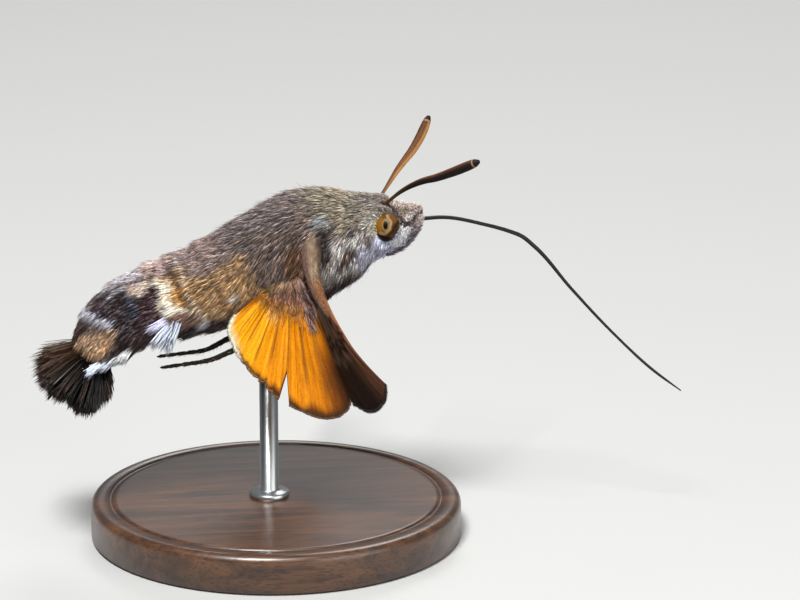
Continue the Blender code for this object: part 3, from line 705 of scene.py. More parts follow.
def lie(x, turn):
    """Degrees that the coat turns down from straight back: a little everywhere, more on the shoulder and
    behind the wings, and most on the sides of the breast and under the eye."""
    degrees = np.abs(np.degrees(turn))
    side = window(degrees, 35, 140, 40)
    return side * (
        6
        + 30 * window(x, -1.6, 3.4, 3.0) * window(degrees, 45, 110, 40)
        + 12 * window(x, -6.0, -1.0, 2.0) * window(degrees, 60, 130, 40)
        + 44 * window(x, 3.0, 7.6, 2.0) * window(degrees, 78, 140, 30)
    )


def clump(x, turn, size, seed):
    """Where the middle of each place's clump is, and a random number for each clump, on a jittered grid."""
    round_size = size / BODY_RADIUS
    i = np.floor(x / size)
    j = np.floor(turn / round_size + 0.5 * (i % 2))
    pick = ((i * 73 + j * 131) % 4096).astype(int)
    table = np.random.default_rng(seed).random((3, 4096))
    middle_x = (i + 0.2 + 0.6 * table[0][pick]) * size
    middle_turn = (j + 0.2 + 0.6 * table[1][pick] - 0.5 * (i % 2)) * round_size
    return middle_x, middle_turn, table[2][pick]


def clear_of_eyes(points, grow):
    """True where a place is outside both eyes, each grown by a share."""
    near = (np.stack([points[..., 0], np.abs(points[..., 1]), points[..., 2]], -1) - EYE_PLACE) / EYE_RADII
    return np.sum(near**2, -1) > grow**2


def coat_colours(x, shade, ring, luck, big_luck):
    """The colours of the body's tufts, and which of them are pale strands. Each is the marking's shade, made
    lighter or darker at random and by its clump: more so on the thorax, and less where the marking is pale.
    The front of each ring is darker, painted shade from the ring before. Some tufts are dark, painted shade
    for gaps in the coat, and some are pale strands, partly pale hairs and partly painted glints."""
    count = len(x)
    bright = shade.mean(1)
    contrast = 1 + 0.35 * step(x, -3, 0) + 0.55 * step(x, 2, 5)
    light = 0.38 * (luck - 0.4) + 0.3 * (big_luck - 0.5) + draw.normal(0, 0.34, count)
    light = (0.8 + contrast * light).clip(0.12, 2.0)
    light = 1 + (light - 1) * (1.05 - 0.85 * bright)
    # Painted shade at the front of each ring, from the ring before.
    light *= 1 - 0.25 * (ring > 0) * (1 - step(ring, 0.05, 0.25))
    # Painted shade: dark tufts for the gaps in the coat.
    gap = (0.15 + 0.15 * step(x, 3, 6) + 0.1 * step(x, 7, 8)) * (1 - 0.8 * bright)
    light *= np.where(draw.random(count) < gap, GAP_LIGHT, 1.0)
    # Pale strands: partly pale hairs, partly painted glints.
    pale = draw.random(count) < 0.08 + 0.24 * (bright < 0.04)
    shade = shade * light[:, None]
    shade = np.where(pale[:, None], shade * PALE_TIMES + PALE_ADDS, shade)
    shade = (shade * (1 + draw.normal(0, 0.08, (count, 1)) * WARM_OR_COLD)).clip(0.004, 0.95)
    return shade, pale


def body_coat(name, count, x_from, x_to, width, lifted):
    """The coat between two places along the body. Tufts follow the lie, turn away from the eyes, draw
    together at their tips in clumps, and take the colour of the markings under their middle. Each ring's
    hind edge has longer tufts. On the brow they stand up as stubble."""
    x, turn = scatter(count, x_from, x_to)
    degrees = np.abs(np.degrees(turn))
    back_length, side_length, belly_length = smooth(x, COAT_LENGTH[:, 0], COAT_LENGTH[:, 1:]).T
    length = np.where(
        degrees < 90,
        back_length + (side_length - back_length) * step(degrees, 10, 80),
        side_length + (belly_length - side_length) * step(degrees, 100, 170),
    )
    ring = ring_share(x, turn) * (x < RINGS_SHOW_X)
    length *= draw.uniform(0.65, 1.12, count) * (1 + 0.2 * ring**3)
    middle_x, middle_turn, luck = clump(x, turn, CLUMP, 5)
    big_luck = clump(x, turn, BIG_CLUMP, 6)[2]
    place, back, down, out = body_frame(x, turn)
    stubble = step(x, *STUBBLE_X)
    fall = lie(x, turn) + 12 * (luck - 0.5) + 10 * (big_luck - 0.5)
    fall = np.radians(fall + draw.normal(0, 5, count) * (1 + 5 * stubble))
    along = np.cos(fall)[:, None] * back + np.sin(fall)[:, None] * down
    sides = np.stack([np.ones(count), np.sign(place[:, 1]), np.ones(count)], 1)
    away = place * sides - EYE_PLACE
    push = np.clip(1.8 - np.linalg.norm(away, axis=1), 0, 0.6) * 1.6
    along = square_to(along + push[:, None] * unit(away) * sides, out)
    gather = on_body(middle_x, middle_turn) - place
    sway = np.clip(0.5 * np.sum(gather * np.cross(out, along), -1) / length, -0.25, 0.25)
    sway = sway + draw.normal(0, 0.03, count)
    lift = np.radians(lifted * (13 + 12 * luck + draw.normal(0, 4, count)))
    stray = draw.random(count) < STRAY_SHARE
    lift = np.where(stray, lift * 1.5, lift) * (1 + 2.0 * stubble)
    droop = np.clip(np.sin(lift) * 0.62, 0.05, 0.3) * draw.uniform(0.7, 1.2, count)
    droop = np.where(stray, droop * 0.6, droop)
    show_x = x - 0.45 * length * np.cos(fall)
    show_turn = turn + np.copysign(0.45 * length * np.sin(fall) / BODY_RADIUS, turn)
    shade, pale = coat_colours(x, markings(show_x, show_turn), ring, luck, big_luck)
    width = width * draw.uniform(0.7, 1.3, count) * np.where(pale, 1.1, 1.0) * (1 + 0.4 * stubble)
    root = place - 0.05 * out
    tip = root + length[:, None] * along * 0.85
    keep = clear_of_eyes(root, 1.0) & clear_of_eyes(tip, 1.02) & clear_of_eyes((root + tip) / 2, 1.02)
    # Roots darker and tips lighter than the marking: painted shade deep in the coat and painted light at its
    # surface.
    coat(name, root, along, out, length, width, lift, droop, sway, shade, body_uv(x, turn),
         dark=0.4 + 0.5 * shade.mean(1, keepdims=True), tip=(shade * 1.15).clip(0, 0.97), keep=keep)


def path_frame(path):
    """Unit vectors along a path, across it and over it, turned as little as can be from one point to the
    next."""
    along = unit(np.gradient(path, axis=0))
    guide = np.eye(3)[np.argmin(np.abs(path[-1] - path[0]))]
    across = unit(np.cross(along, guide))
    return along, across, np.cross(across, along)


def along_share(path):
    """How far each point is along a path, from 0 to 1."""
    steps = np.linalg.norm(np.diff(path, axis=0), axis=1)
    return np.concatenate([[0.0], np.cumsum(steps)]) / steps.sum()


def resample(path, count):
    """The path as evenly spaced points of a smooth curve through the given ones."""
    path = np.asarray(path, float)
    return smooth(np.linspace(0, 1, count), along_share(path), path)


def tube(path, radii, sides, flatten=1.0):
    """Rings of an oval tube square to the path, and the angle of each point round it."""
    _, across, over = path_frame(path)
    turn = all_round(sides)
    wide = np.cos(turn)[:, None] * across[:, None]
    tall = np.sin(turn)[:, None] * over[:, None] * flatten
    return path[:, None] + radii[:, None, None] * (wide + tall), np.broadcast_to(turn, (len(path), sides))


def tube_scatter(path, radii, count, to_share):
    """Random places on a tube from its start to a share of its length, with the unit vectors along it and
    out of it, and each one's share and angle."""
    share = along_share(path)
    at = draw.uniform(0, to_share, count)
    turn = draw.uniform(0, FULL_TURN, count)
    middle, along, across, over = read_along(at, share, path, *path_frame(path))
    out = unit(np.cos(turn)[:, None] * across + np.sin(turn)[:, None] * over)
    return middle + np.interp(at, share, radii)[:, None] * out, unit(along), out, at, turn


def palp(word, side):
    """An upturned palp: a swollen tube under short scales that lie towards its tip, pale above near its
    root and lighter at its tip."""
    path = resample(PALP_ROUTE, PALP_ROWS) * (1, side, 1)
    share = along_share(path)
    radii = smooth(share, *np.array(PALP_RADII).T)
    rings, turn = tube(path, radii, PALP_SIDES)
    # The palp's skin is darker than its scales: painted shade under them.
    shade = layered("#6a5e67", ("#a3928c", step(share, 0.7, 1.0)[:, None])) * 0.5
    uv = unwrap(share[:, None], turn / FULL_TURN)
    made = lofted(f"palp_skin_{word}", rings, "moth skin", shade, uv)
    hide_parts(f"palp_{word}")
    count = PALP_SCALES
    root, along, out, at, turn = tube_scatter(path, radii, count, 0.99)
    pale = step(out[:, 2] + 0.4 * out[:, 1] * side, 0.0, 0.7) * (1 - step(at, 0.35, 0.65))
    shade = layered("#6a5e67", ("#b9a9a2", step(at, 0.65, 1.0)), ("#d5d8e6", pale))
    shade = shade * draw.uniform(0.3, 1.9, (count, 1))
    coat(f"palp_coat_{word}", root - 0.03 * out, along, out, draw.uniform(0.22, 0.5, count),
         draw.uniform(0.06, 0.11, count), np.radians(draw.uniform(15, 60, count)), 0.15,
         draw.normal(0, 0.2, count), shade, unwrap(at, turn / FULL_TURN), dark=0.5)


def eye_colours(ball):
    """The eye's colours: amber, with each mark laid on the pattern's plane, one of which is a painted
    highlight, a dark rim below that is painted shade, a pale one behind, a pale bent band, a dark line at the
    front, and a pale ring round a black spot."""
    flat = ball * EYE_RADII
    ahead = flat @ AHEAD
    up = flat @ EYE_UP

    def away_from(middle, half):
        """How far the places of the pattern are from a mark's middle, in its half sizes."""
        return np.hypot((ahead - middle[0]) / half[0], (up - middle[1]) / half[1])

    colour = linear("#523a1b") * (1 + 0.25 * mottle(ahead * 9 + 30, up * 5 + 30, 21))[..., None]
    for shade, middle, half, soft in EYE_MARKS:
        colour = layered(colour, (shade, 1 - step(away_from(middle, half), 1 - soft, 1 + soft)))
    band = line_distance(ahead, up, EYE_BAND) + 0.04 * mottle(ahead * 6, up * 6, 5)
    spot = away_from(*EYE_SPOT)
    return layered(
        colour,
        # Painted shade on the eye's lower rim.
        ("#100a05", 1 - step(up + 0.25 * ahead, -0.82, -0.58)),
        ("#7c6c45", 0.7 * (1 - step(ahead, -0.95, -0.8))),
        ("#937750", 0.85 * (1 - step(band, 0.02, 0.14))),
        ("#241307", 0.85 * (1 - step(line_distance(ahead, up, EYE_LINE), 0.03, 0.16))),
        ("#7a6847", 0.7 * window(spot, 1.0, 1.6, 0.5)),
        ("#080503", 1 - step(spot, 0.8, 1.2)),
    )


def eye(word, side):
    """An ellipsoid on a grid of angles, with its poles closed."""
    tilt = np.linspace(0.02, np.pi - 0.02, EYE_ROWS)[:, None]
    spin = all_round(EYE_SIDES)
    ball = (np.sin(tilt) * np.cos(spin), np.cos(tilt), np.sin(tilt) * np.sin(spin))
    ball = np.stack(np.broadcast_arrays(*ball), -1)
    rings = EYE_PLACE * (1, side, 1) + ball * EYE_RADII * (1, side, 1)
    made = lofted(f"eye_lens_{word}", rings, "compound eye", eye_colours(ball))
    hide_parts(f"eye_{word}")


def orbit(word, side):
    """A ring of short scales round each eye, pointing away from it: cream behind, pale below, grey above
    and dark in front. Some of those above and behind bend over the eye's rim."""
    count = ORBIT_SCALES
    turn = draw.uniform(0, FULL_TURN, count)
    reach = draw.uniform(0.92, 1.2, count)
    start = EYE_PLACE + np.stack([np.cos(turn) * reach, np.zeros(count), np.sin(turn) * reach * 1.08], 1)
    around = turn_beside(start) * side
    place, _, _, out = body_frame(start[:, 0], around)
    along = square_to(place - EYE_PLACE * (1, side, 1), out)
    over = (draw.random(count) < 0.3) & (np.sin(turn - np.radians(30)) > 0)
    along = np.where(over[:, None], -along, along)
    front = step(np.cos(turn), 0.5, 0.85) * (1 - step(np.abs(np.sin(turn) - 0.1), 0.15, 0.35))
    behind = step(-np.cos(turn), 0.3, 0.9)
    below = step(-np.sin(turn), 0.15, 0.6)
    shade = layered("#b9b2a8", ("#e6d9ae", behind), ("#4a3328", front), ("#f2f5ff", below))
    shade = shade * draw.uniform(0.5, 1.25, (count, 1))
    coat(f"orbit_coat_{word}", place - 0.05 * out, along, out, draw.uniform(0.18, 0.36, count),
         draw.uniform(0.035, 0.065, count), np.radians(draw.uniform(22, 42, count) + 18 * over), 0.2,
         draw.normal(0, 0.08, count), shade, body_uv(start[:, 0], around), light=np.inf,
         keep=clear_of_eyes(place, 0.97))


def eyelid(word, side):
    """Scales of the cheek that lie over the eye's lower front rim, outside a straight line across the eye,
    and point down and back. They are pale or grey, and brown beside the line, where the brown is painted
    shadow at the edge of the scales over the eye."""
    count = EYELID_SCALES
    turn = np.radians(EYELID_MIDDLE + draw.uniform(-EYELID_HALF, EYELID_HALF, count))
    inner = np.minimum(EYELID_LINE / np.cos(turn - np.radians(EYELID_MIDDLE)), 0.98)
    depth = draw.random(count)
    reach = inner + (1.0 - inner) * depth
    ball = np.stack([reach * np.cos(turn), np.sqrt(1 - reach**2), reach * np.sin(turn)], 1)
    root = (EYE_PLACE + ball * EYE_RADII) * (1, side, 1)
    out = unit(ball / EYE_RADII) * (1, side, 1)
    along = square_to((-0.35, 0.0, -0.75) + 0.5 * ball * (1, side, 1) + draw.normal(0, 0.12, (count, 3)), out)
    # Brown beside the line: painted shadow along the scales' edge over the eye.
    shade = layered("#d9def0", ("#6d5f6c", draw.random(count) < 0.3), ("#4a3226", 0.85 * (depth < 0.14)))
    shade = shade * draw.uniform(0.6, 1.2, (count, 1))
    coat(f"eyelid_coat_{word}", root - 0.03 * out, along, out, draw.uniform(0.2, 0.36, count),
         draw.uniform(0.045, 0.075, count), np.radians(draw.uniform(6, 18, count)), 0.15,
         draw.normal(0, 0.08, count), shade, body_uv(root[:, 0], turn_beside(root) * side), light=0.97)


def antenna(word, side):
    """A club-shaped horn of many short rings with a fine tip: dark outside, with a warm brown where it faces
    up that is painted light, and tan within."""
    share = np.linspace(0, 1, ANTENNA_ROWS)
    path = ANTENNA_ROOT * (1, side, 1) + share[:, None] * np.array(ANTENNA_REACH[word])
    path[:, 2] += smooth(share, *np.array(ANTENNA_BOWS[word]).T)
    radii = eased(np.interp(share, *np.array(ANTENNA_RADII).T), 8)
    groove = 1 - 0.06 * np.abs(np.cos(np.pi * ANTENNA_RINGS * share)) ** 6
    rings, turn = tube(path, radii * groove, ANTENNA_SIDES)
    out = unit(rings - path[:, None])
    inner = -0.75 * out[..., 1] * side + 0.6 * out[..., 0] - 0.2 * out[..., 2]
    share = share[:, None]
    shade = layered(
        "#0f0705",
        # Painted light: warm brown where the horn faces up.
        ("#5f3619", 0.8 * step(out[..., 2], 0.2, 0.95)),
        ("#a8763f", step(inner, 0.15 + 0.4 * share, 0.8 + 0.2 * share)),
        ("#4e3016", 0.6 * (1 - step(share, 0.05, 0.3))),
    )
    shade = shade * (1 - 0.3 * (groove < 0.96)[:, None, None])
    band = window(share, 0.945, 0.957, 0.01)
    shade = layered(shade, ("#8a6248", band), ("#080505", step(share, 0.957, 0.965)))
    uv = unwrap(share, turn / FULL_TURN, 0)
    made = lofted(f"antenna_horn_{word}", rings, "antenna horn", shade, uv, "round")
    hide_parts(f"antenna_{word}")


def proboscis():
    """One fine tube, wider than it is tall, with a groove along its top and bottom so that it reads as two
    side by side, and fine rings.
    """
    path = resample([(x, 0.0, z) for x, z in PROBOSCIS_ROUTE], PROBOSCIS_ROWS)
    share = along_share(path)
    radii = smooth(share, *np.array(PROBOSCIS_RADII).T)
    radii = radii * (1 - 0.02 * np.cos(FULL_TURN * PROBOSCIS_RINGS * share))
    along = unit(np.gradient(path, axis=0))
    wide = np.array((0.0, 1.0, 0.0))
    tall = np.cross(wide, along)
    turn = all_round(PROBOSCIS_SIDES)
    groove = 1 - 0.16 * np.abs(np.sin(turn)) ** 12
    shape = 1.12 * np.cos(turn)[:, None] * wide + 0.95 * (np.sin(turn) * groove)[:, None] * tall[:, None]
    rings = path[:, None] + radii[:, None, None] * shape
    uv = unwrap(share[:, None], turn / FULL_TURN, 0)
    made = lofted("proboscis_horn", rings, "proboscis horn", None, uv, "round")
    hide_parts("proboscis_upper", "proboscis_lower")


def leg(kind, word, side):
    """A leg of thigh, shin and a jointed foot, under flat scales, with short thorns under its lower
    part."""
    corners = np.array(LEGS[kind]) * (1, side, 1)
    at = np.linspace(0, 1, LEG_ROWS)
    path = read_along(at, along_share(corners), corners)[0]
    path = np.stack([eased(axis, 14, "reflect", reflect_type="odd") for axis in path.T], 1)
    radii = np.interp(at, *np.array(LEG_RADII).T)
    foot = step(at, 0.66, 0.7)
    radii *= 1 - 0.2 * foot * np.abs(np.cos(np.pi * 5 * (at - 0.66) / 0.34)) ** 8
    rings, turn = tube(path, radii, LEG_SIDES)
    uv = unwrap(at[:, None], turn / FULL_TURN)
    made = lofted(f"leg_{kind}_limb_{word}", rings, "leg horn", linear("#1d1510"), uv)
    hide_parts(f"leg_{kind}_{word}")
    count = LEG_SCALES
    root, along, out, spot, turn = tube_scatter(path, radii, count, 0.98)
    tight = step(spot, 0.3, 0.62)
    thorn = (draw.random(count) < 0.1) & (out[:, 2] < 0.1) & (spot > 0.4)
    length = (0.5 - 0.26 * tight) * draw.uniform(0.6, 1.2, count) * np.where(thorn, 1.4, 1.0)
    lift = np.radians(draw.uniform(6, 18, count) + 24 * thorn)
    shade = linear("#281c14") * draw.uniform(0.3, 1.5, (count, 1))
    shade = np.where((draw.random(count) < 0.07)[:, None], linear("#9c8468") * 0.8, shade)
    coat(f"leg_{kind}_coat_{word}", root - 0.02 * out, along, out, length,
         draw.uniform(0.045, 0.08, count), lift, 0.1 * ~thorn, draw.normal(0, 0.05, count), shade,
         unwrap(spot, turn / FULL_TURN))


def wing_axes(root, tip, tornus):
    """The direction to the tip, and the direction square to it towards the hind corner."""
    along = unit(tip - root)
    across = tornus - root - (tornus - root) @ along * along
    return along, unit(across)


def bowed_lines(root, axes, starts, ends, share, span, bow):
    """Places on straight lines across a wing, given along and across it, that bow most in the middle of its
    span."""
    flat = starts * (1 - share[..., None]) + ends * share[..., None]
    out = flat[..., :1] / span
    return root + flat[..., :1] * axes[0] + flat[..., 1:] * axes[1] + 4 * out * (1 - out) * bow


def forewing_sheet(at, share, side):
    """Places on the forewing's middle sheet: at runs from its front edge to its hind edge, and share from
    its root to its outer edge. The outer edge bulges, and its front corner is rounded."""
    axes = wing_axes(FOREWING_ROOT, FOREWING_TIP, FOREWING_TORNUS)
    span = np.linalg.norm(FOREWING_TIP - FOREWING_ROOT)
    tornus = (FOREWING_TORNUS - FOREWING_ROOT) @ np.stack(axes, 1)
    tip = np.array((span, 0.0))
    bulge = FOREWING_EDGE_BULGE * np.sin(np.pi * at) * (1 - np.abs(2 * at - 1) ** 6)
    corner = FOREWING_TIP_ROUND * np.clip(1 - at / 0.14, 0, 1) ** 2
    starts = at[..., None] * FOREWING_HIND_ROOT
    ends = tip + at[..., None] * (tornus - tip) + bulge[..., None] * FOREWING_EDGE_OUT
    ends = ends - corner[..., None] * (1.0, 0.0)
    return bowed_lines(FOREWING_ROOT, axes, starts, ends, share, span, FOREWING_SAG) * (1, side, 1)


def hindwing_reach(degrees, side):
    """How far the hindwing reaches at each angle. The right one has a tear, a nick beside it and a frayed
    edge."""
    reach = smooth(degrees, HINDWING_REACH[:, 0], HINDWING_REACH[:, 1])
    if side > 0:
        return reach
    tear = np.clip(1 - np.abs(degrees - TEAR_ANGLE) / TEAR_HALF_ANGLE, 0, 1)
    nick = np.clip(1 - np.abs(degrees - NICK_ANGLE) / NICK_HALF_ANGLE, 0, 1)
    frayed = mottle(degrees * 0.45, degrees * 0.16, 41) + 0.35 * mottle(degrees * 1.3, degrees, 42)
    frayed = np.clip(frayed, 0, 1) * window(degrees, 27, 58, 6)
    return reach - TEAR_DEPTH * tear**0.8 - NICK_DEPTH * nick - FRAYED_DEPTH * frayed


def hindwing_sheet(at, share, side):
    """Places on the hindwing's middle sheet: at is the share of the fan's angle from its front edge, and
    share the share of the reach at that angle."""
    axes = wing_axes(HINDWING_ROOT, HINDWING_TIP, HINDWING_TORNUS)
    degrees = HINDWING_REACH[0, 0] + at * (HINDWING_REACH[-1, 0] - HINDWING_REACH[0, 0])
    rays = np.stack([np.cos(np.radians(degrees)), np.sin(np.radians(degrees))], -1)
    starts = rays * HINDWING_ROOT_START + np.stack([np.zeros_like(at), at * HINDWING_ROOT_WIDTH], -1)
    ends = rays * hindwing_reach(degrees, side)[..., None]
    bow = -HINDWING_CROWN * np.cross(*axes)
    span = HINDWING_REACH[:, 1].max()
    return bowed_lines(HINDWING_ROOT, axes, starts, ends, share, span, bow) * (1, side, 1)


def sheet_normals(sheet, at, share, side):
    """The way out of a wing's outer face, which is the upper side of the spread wing."""
    along = sheet(at, np.minimum(share + 0.01, 1), side) - sheet(at, np.maximum(share - 0.01, 0), side)
    across = sheet(np.minimum(at + 0.01, 1), share, side) - sheet(np.maximum(at - 0.01, 0), share, side)
    return unit(np.cross(along, across)) * side


def wing_columns(veins, tear=()):
    """Where a wing's lines lie, closer together over each vein and at a tear."""
    close = np.linspace(-1, 1, 5) * WING_VEIN_HALF_WIDTH
    columns = [np.linspace(0, 1, WING_COLUMNS), tear]
    columns += [vein + close for vein in veins]
    return np.unique(np.clip(np.concatenate(columns), 0, 1).round(5))


def bay(at, veins):
    """The number of the bay between two veins that a place lies in, with its share of the way across as a
    fraction."""
    return np.interp(at, [0.0, *veins, 1.0], np.arange(len(veins) + 2))


def wing_face(sheet, veins, at, share, side):
    """A wing's middle sheet with its pleats between the veins, half its thickness, which is more over a
    vein, and the way out of its upper face."""
    normal = sheet_normals(sheet, at, share, side)
    near = np.abs(at[..., None] - np.array(veins)).min(-1)
    vein = np.clip(1 - (near / WING_VEIN_HALF_WIDTH) ** 2, 0, 1) ** 0.5 * (1 - 0.6 * share)
    pleat = WING_PLEAT * np.sin(np.pi * bay(at, veins)) * np.sin(np.pi * np.clip(share * 1.15, 0, 1)) ** 0.7
    crinkle = 0.018 * mottle(at * 60, share * 5 + 7, 9) + 0.05 * mottle(at * 9 + 3, share * 3, 10)
    middle = sheet(at, share, side) + normal * (pleat + crinkle * step(share, 0.05, 0.3))[..., None]
    return middle, (MEMBRANE_HALF * (1 - 0.5 * share) + WING_VEIN_HEIGHT * vein)[..., None], normal


def wing(name, slot, sheet, veins, side, finish, colours, tear=()):
    """A closed membrane about a middle sheet: its upper face, its underside and a wall round their rim."""
    share, at = np.meshgrid(np.linspace(0, 1, WING_ROWS), wing_columns(veins, tear), indexing="ij")
    middle, half, normal = wing_face(sheet, veins, at, share, side)
    rows, columns = at.shape
    count = rows * columns
    index = np.arange(count).reshape(rows, columns)
    a = index[:-1, :-1].ravel()
    face = [np.stack([a, a + 1, a + 1 + columns], 1), np.stack([a, a + 1 + columns, a + columns], 1)]
    face = np.concatenate(face)
    rim = np.concatenate([index[0], index[1:, -1], index[-1, -2::-1], index[-2:0:-1, 0]])
    after = np.roll(rim, -1)
    wall = [np.stack([after, rim, rim + count], 1), np.stack([after, rim + count, after + count], 1)]
    points = np.concatenate([(middle + way * normal * half).reshape(-1, 3) for way in (1, -1)])
    faces = np.concatenate([face, face[:, ::-1] + count, *wall])
    shade = np.concatenate([colours(at, share, upper).reshape(-1, 3) for upper in (True, False)])
    uv = np.concatenate([np.stack([at * 0.48 + shift, share], -1).reshape(-1, 2) for shift in (0.0, 0.52)])
    return piece(name, points, faces, finish, shade, uv, "fan")


def hindwing_colours(at, share, upper):
    """Orange, yellower towards the hind edge, with brown down the folds of the pleats that is painted shade,
    darker in the sunken ones, a dark band along the outer and front edges and cream at the hind corner. The
    underside is paler and browner."""
    order = bay(at, HINDWING_VEINS)
    number = np.floor(order)
    away = np.abs(order - number - 0.5 + 0.08 * mottle(at * 12, share * 3, 33))
    reach = window(share, 0.26 + 0.05 * (number % 3), 0.88 - 0.1 * (number % 2), 0.3)
    fine = mottle(at * 70, share * 1.6 + 5, 31) * step(share, 0.1, 0.3)
    wave = 0.012 * np.sin(at * 60) + 0.03 * mottle(at * 24 + 3, share * 4, 12)
    return layered(
        "#d17f05",
        ("#dd960a", 0.85 * step(at, 0.42, 0.72) * (1 - step(at, 0.9, 0.97))),
        ("#e0b674", 0.75 * window(at, 0.52, 0.7, 0.12) * window(share, 0.18, 0.42, 0.2)),
        ("#cb7805", 0.6 * window(at, 0.2, 0.48, 0.2) * step(share, 0.35, 0.8)),
        # Painted shade in the folds of the pleats: soft brown down the middle of each bay, darker where the
        # pleat sinks, and a thin dark crease.
        ("#7a3f06", (1 - step(away, 0.04, 0.2)) * reach * (0.4 + 0.25 * (number % 2))),
        ("#4a2404", 0.6 * (1 - step(away, 0.02, 0.08)) * reach),
        ("#935207", 0.65 * np.clip(fine, 0, 1)),
        ("#efb038", 0.3 * np.clip(-fine, 0, 1)),
        ("#7a3603", 0.85 * (1 - step(at, 0.08, 0.28)) * step(share, 0.25, 0.7)),
        ("#5c2c05", 0.9 * step(share + wave, 0.9, 0.985) * (1 - step(at, 0.42, 0.8))),
        ("#1b0c03", 0.92 * (1 - step(at, 0.05, 0.16 + 0.06 * share)) * step(share + wave, 0.42, 0.76)),
        ("#20120a", 0.85 * (1 - step(at, 0.01, 0.06)) * step(share, 0.35, 0.5)),
        ("#33200f", 0.85 * step(share + 0.4 * wave, 0.95, 0.985) * (1 - step(at, 0.78, 0.84))),
        ("#c0ae80", 0.85 * step(share, 0.88, 0.98) * step(at, 0.72, 0.84)),
        ("#b0752f", 0.8 * (1 - step(share, 0.02, 0.16))),
        ("#a0713f", 0.0 if upper else 0.45),
    )


def forewing_colours(at, share, upper):
    """Grey-brown above, darker outwards, with black cross lines and a black spot. The underside is rusty,
    and dark at its outer edge."""
    if not upper:
        rust = 0.7 * (1 - step(share, 0.15, 0.5))
        return layered("#8d5a33", ("#b87a36", rust), ("#3d2a20", step(share, 0.62, 0.95)))
    wave = 0.018 * np.sin(at * 19) + 0.012 * np.sin(at * 43 + 1) + 0.01 * mottle(at * 30, share * 6, 14)
    lines = [
        ("#150d0a", depth * (1 - step(np.abs(share + wave + 0.05 * at - place), wide, wide + 0.014)))
        for place, wide, depth in FOREWING_LINES
    ]
    spot = (at - 0.2) ** 2 / 0.004 + (share - 0.46) ** 2 / 0.00022
    return layered(
        "#6d594a",
        ("#9d8b70", 0.8 * (1 - step(share, 0.05, 0.36))),
        ("#4b3427", 0.88 * step(share, 0.28, 0.55)),
        ("#150b07", 0.94 * step(share, 0.45, 0.78)),
        ("#6e4632", step(share, 0.36, 0.5) * (1 - step(at, 0.08, 0.36)) * (1 - 0.5 * share)),
        *lines,
        ("#54463a", 0.4 * window(share + wave, 0.655, 0.7, 0.03)),
        ("#120b08", 1 - step(spot, 0.6, 1.6)),
    )


def wing_hairs(name, slot, sheet, veins, side, at, share, length, shade, upper=True, thin=1.0):
    """Hair scales on a wing's face, lying outwards along its lines. Thin narrows them."""
    count = len(at)
    middle, half, normal = wing_face(sheet, veins, at, share, side)
    out = normal if upper else -normal
    along = unit(sheet(at, share + 0.02, side) - sheet(at, share, side))
    along = square_to(along + draw.normal(0, 0.1, (count, 1)) * np.cross(out, along), out)
    shade = shade * draw.uniform(0.5, 1.3, (count, 1))
    coat(name, middle + out * (half - 0.01), along, out, length * draw.uniform(0.6, 1.15, count),
         thin * draw.uniform(0.04, 0.075, count), np.radians(draw.uniform(4, 14, count)), 0.08,
         draw.normal(0, 0.05, count), shade, unwrap(at, share), dark=0.7)


def fringe(name, slot, sheet, veins, side, at, length, shade):
    """Fine scales on a wing's outer edge, nearly square to it and between its two faces."""
    count = len(at)
    share = np.ones(count)
    middle, _, out = wing_face(sheet, veins, at, share, side)
    line = unit(middle - sheet(at, share - 0.03, side))
    edge = sheet(np.minimum(at + 0.004, 1), share, side) - sheet(np.maximum(at - 0.004, 0), share, side)
    square = unit(np.cross(edge, out))
    square *= np.sign(np.sum(square * line, 1, keepdims=True))
    along = square_to(unit(line * 0.6 + square), out)
    shade = shade * draw.uniform(0.6, 1.3, (count, 1))
    coat(name, middle - 0.06 * along, along, out, length * draw.uniform(0.5, 1.15, count),
         draw.uniform(0.04, 0.07, count), np.radians(draw.normal(0, 5, count)), 0.0,
         draw.normal(0, 0.1, count), shade, unwrap(at, share), dark=0.8)


def shoulder_colours(at, level):
    """The colours of the thick front edge, by the share of its length and from -1 to 1 across it: beige in
    patches, with brown sides, a dark knob at its top, and rust and then brown at its end."""
    spots = mottle(at * 14, level * 2.5 + 3, 41)
    return layered(
        "#997f63",
        ("#b9ab8b", 0.7 * np.clip(spots, 0, 1)),
        ("#5f4a36", 0.7 * np.clip(-spots, 0, 1)),
        ("#6f5247", 1 - step(level + 0.2 * at, -0.62, -0.2)),
        ("#4d3323", 0.9 * step(level, 0.4, 0.8)),
        ("#3b2519", (1 - step(at, 0.1, 0.2)) * step(level, 0.0, 0.6)),
        ("#8c5429", 0.9 * step(at, 0.42, 0.66) * window(level, -0.7, 0.9, 0.5)),
        ("#4a2a18", 0.8 * step(at, 0.9, 1.0)),
    )


def round_end(share, part):
    """1 along a rod, and a quarter circle down to nearly 0 in the given part at its start."""
    return np.sqrt(np.clip(1 - (1 - np.clip(share / part, 0, 1)) ** 2, 0.01, 1))


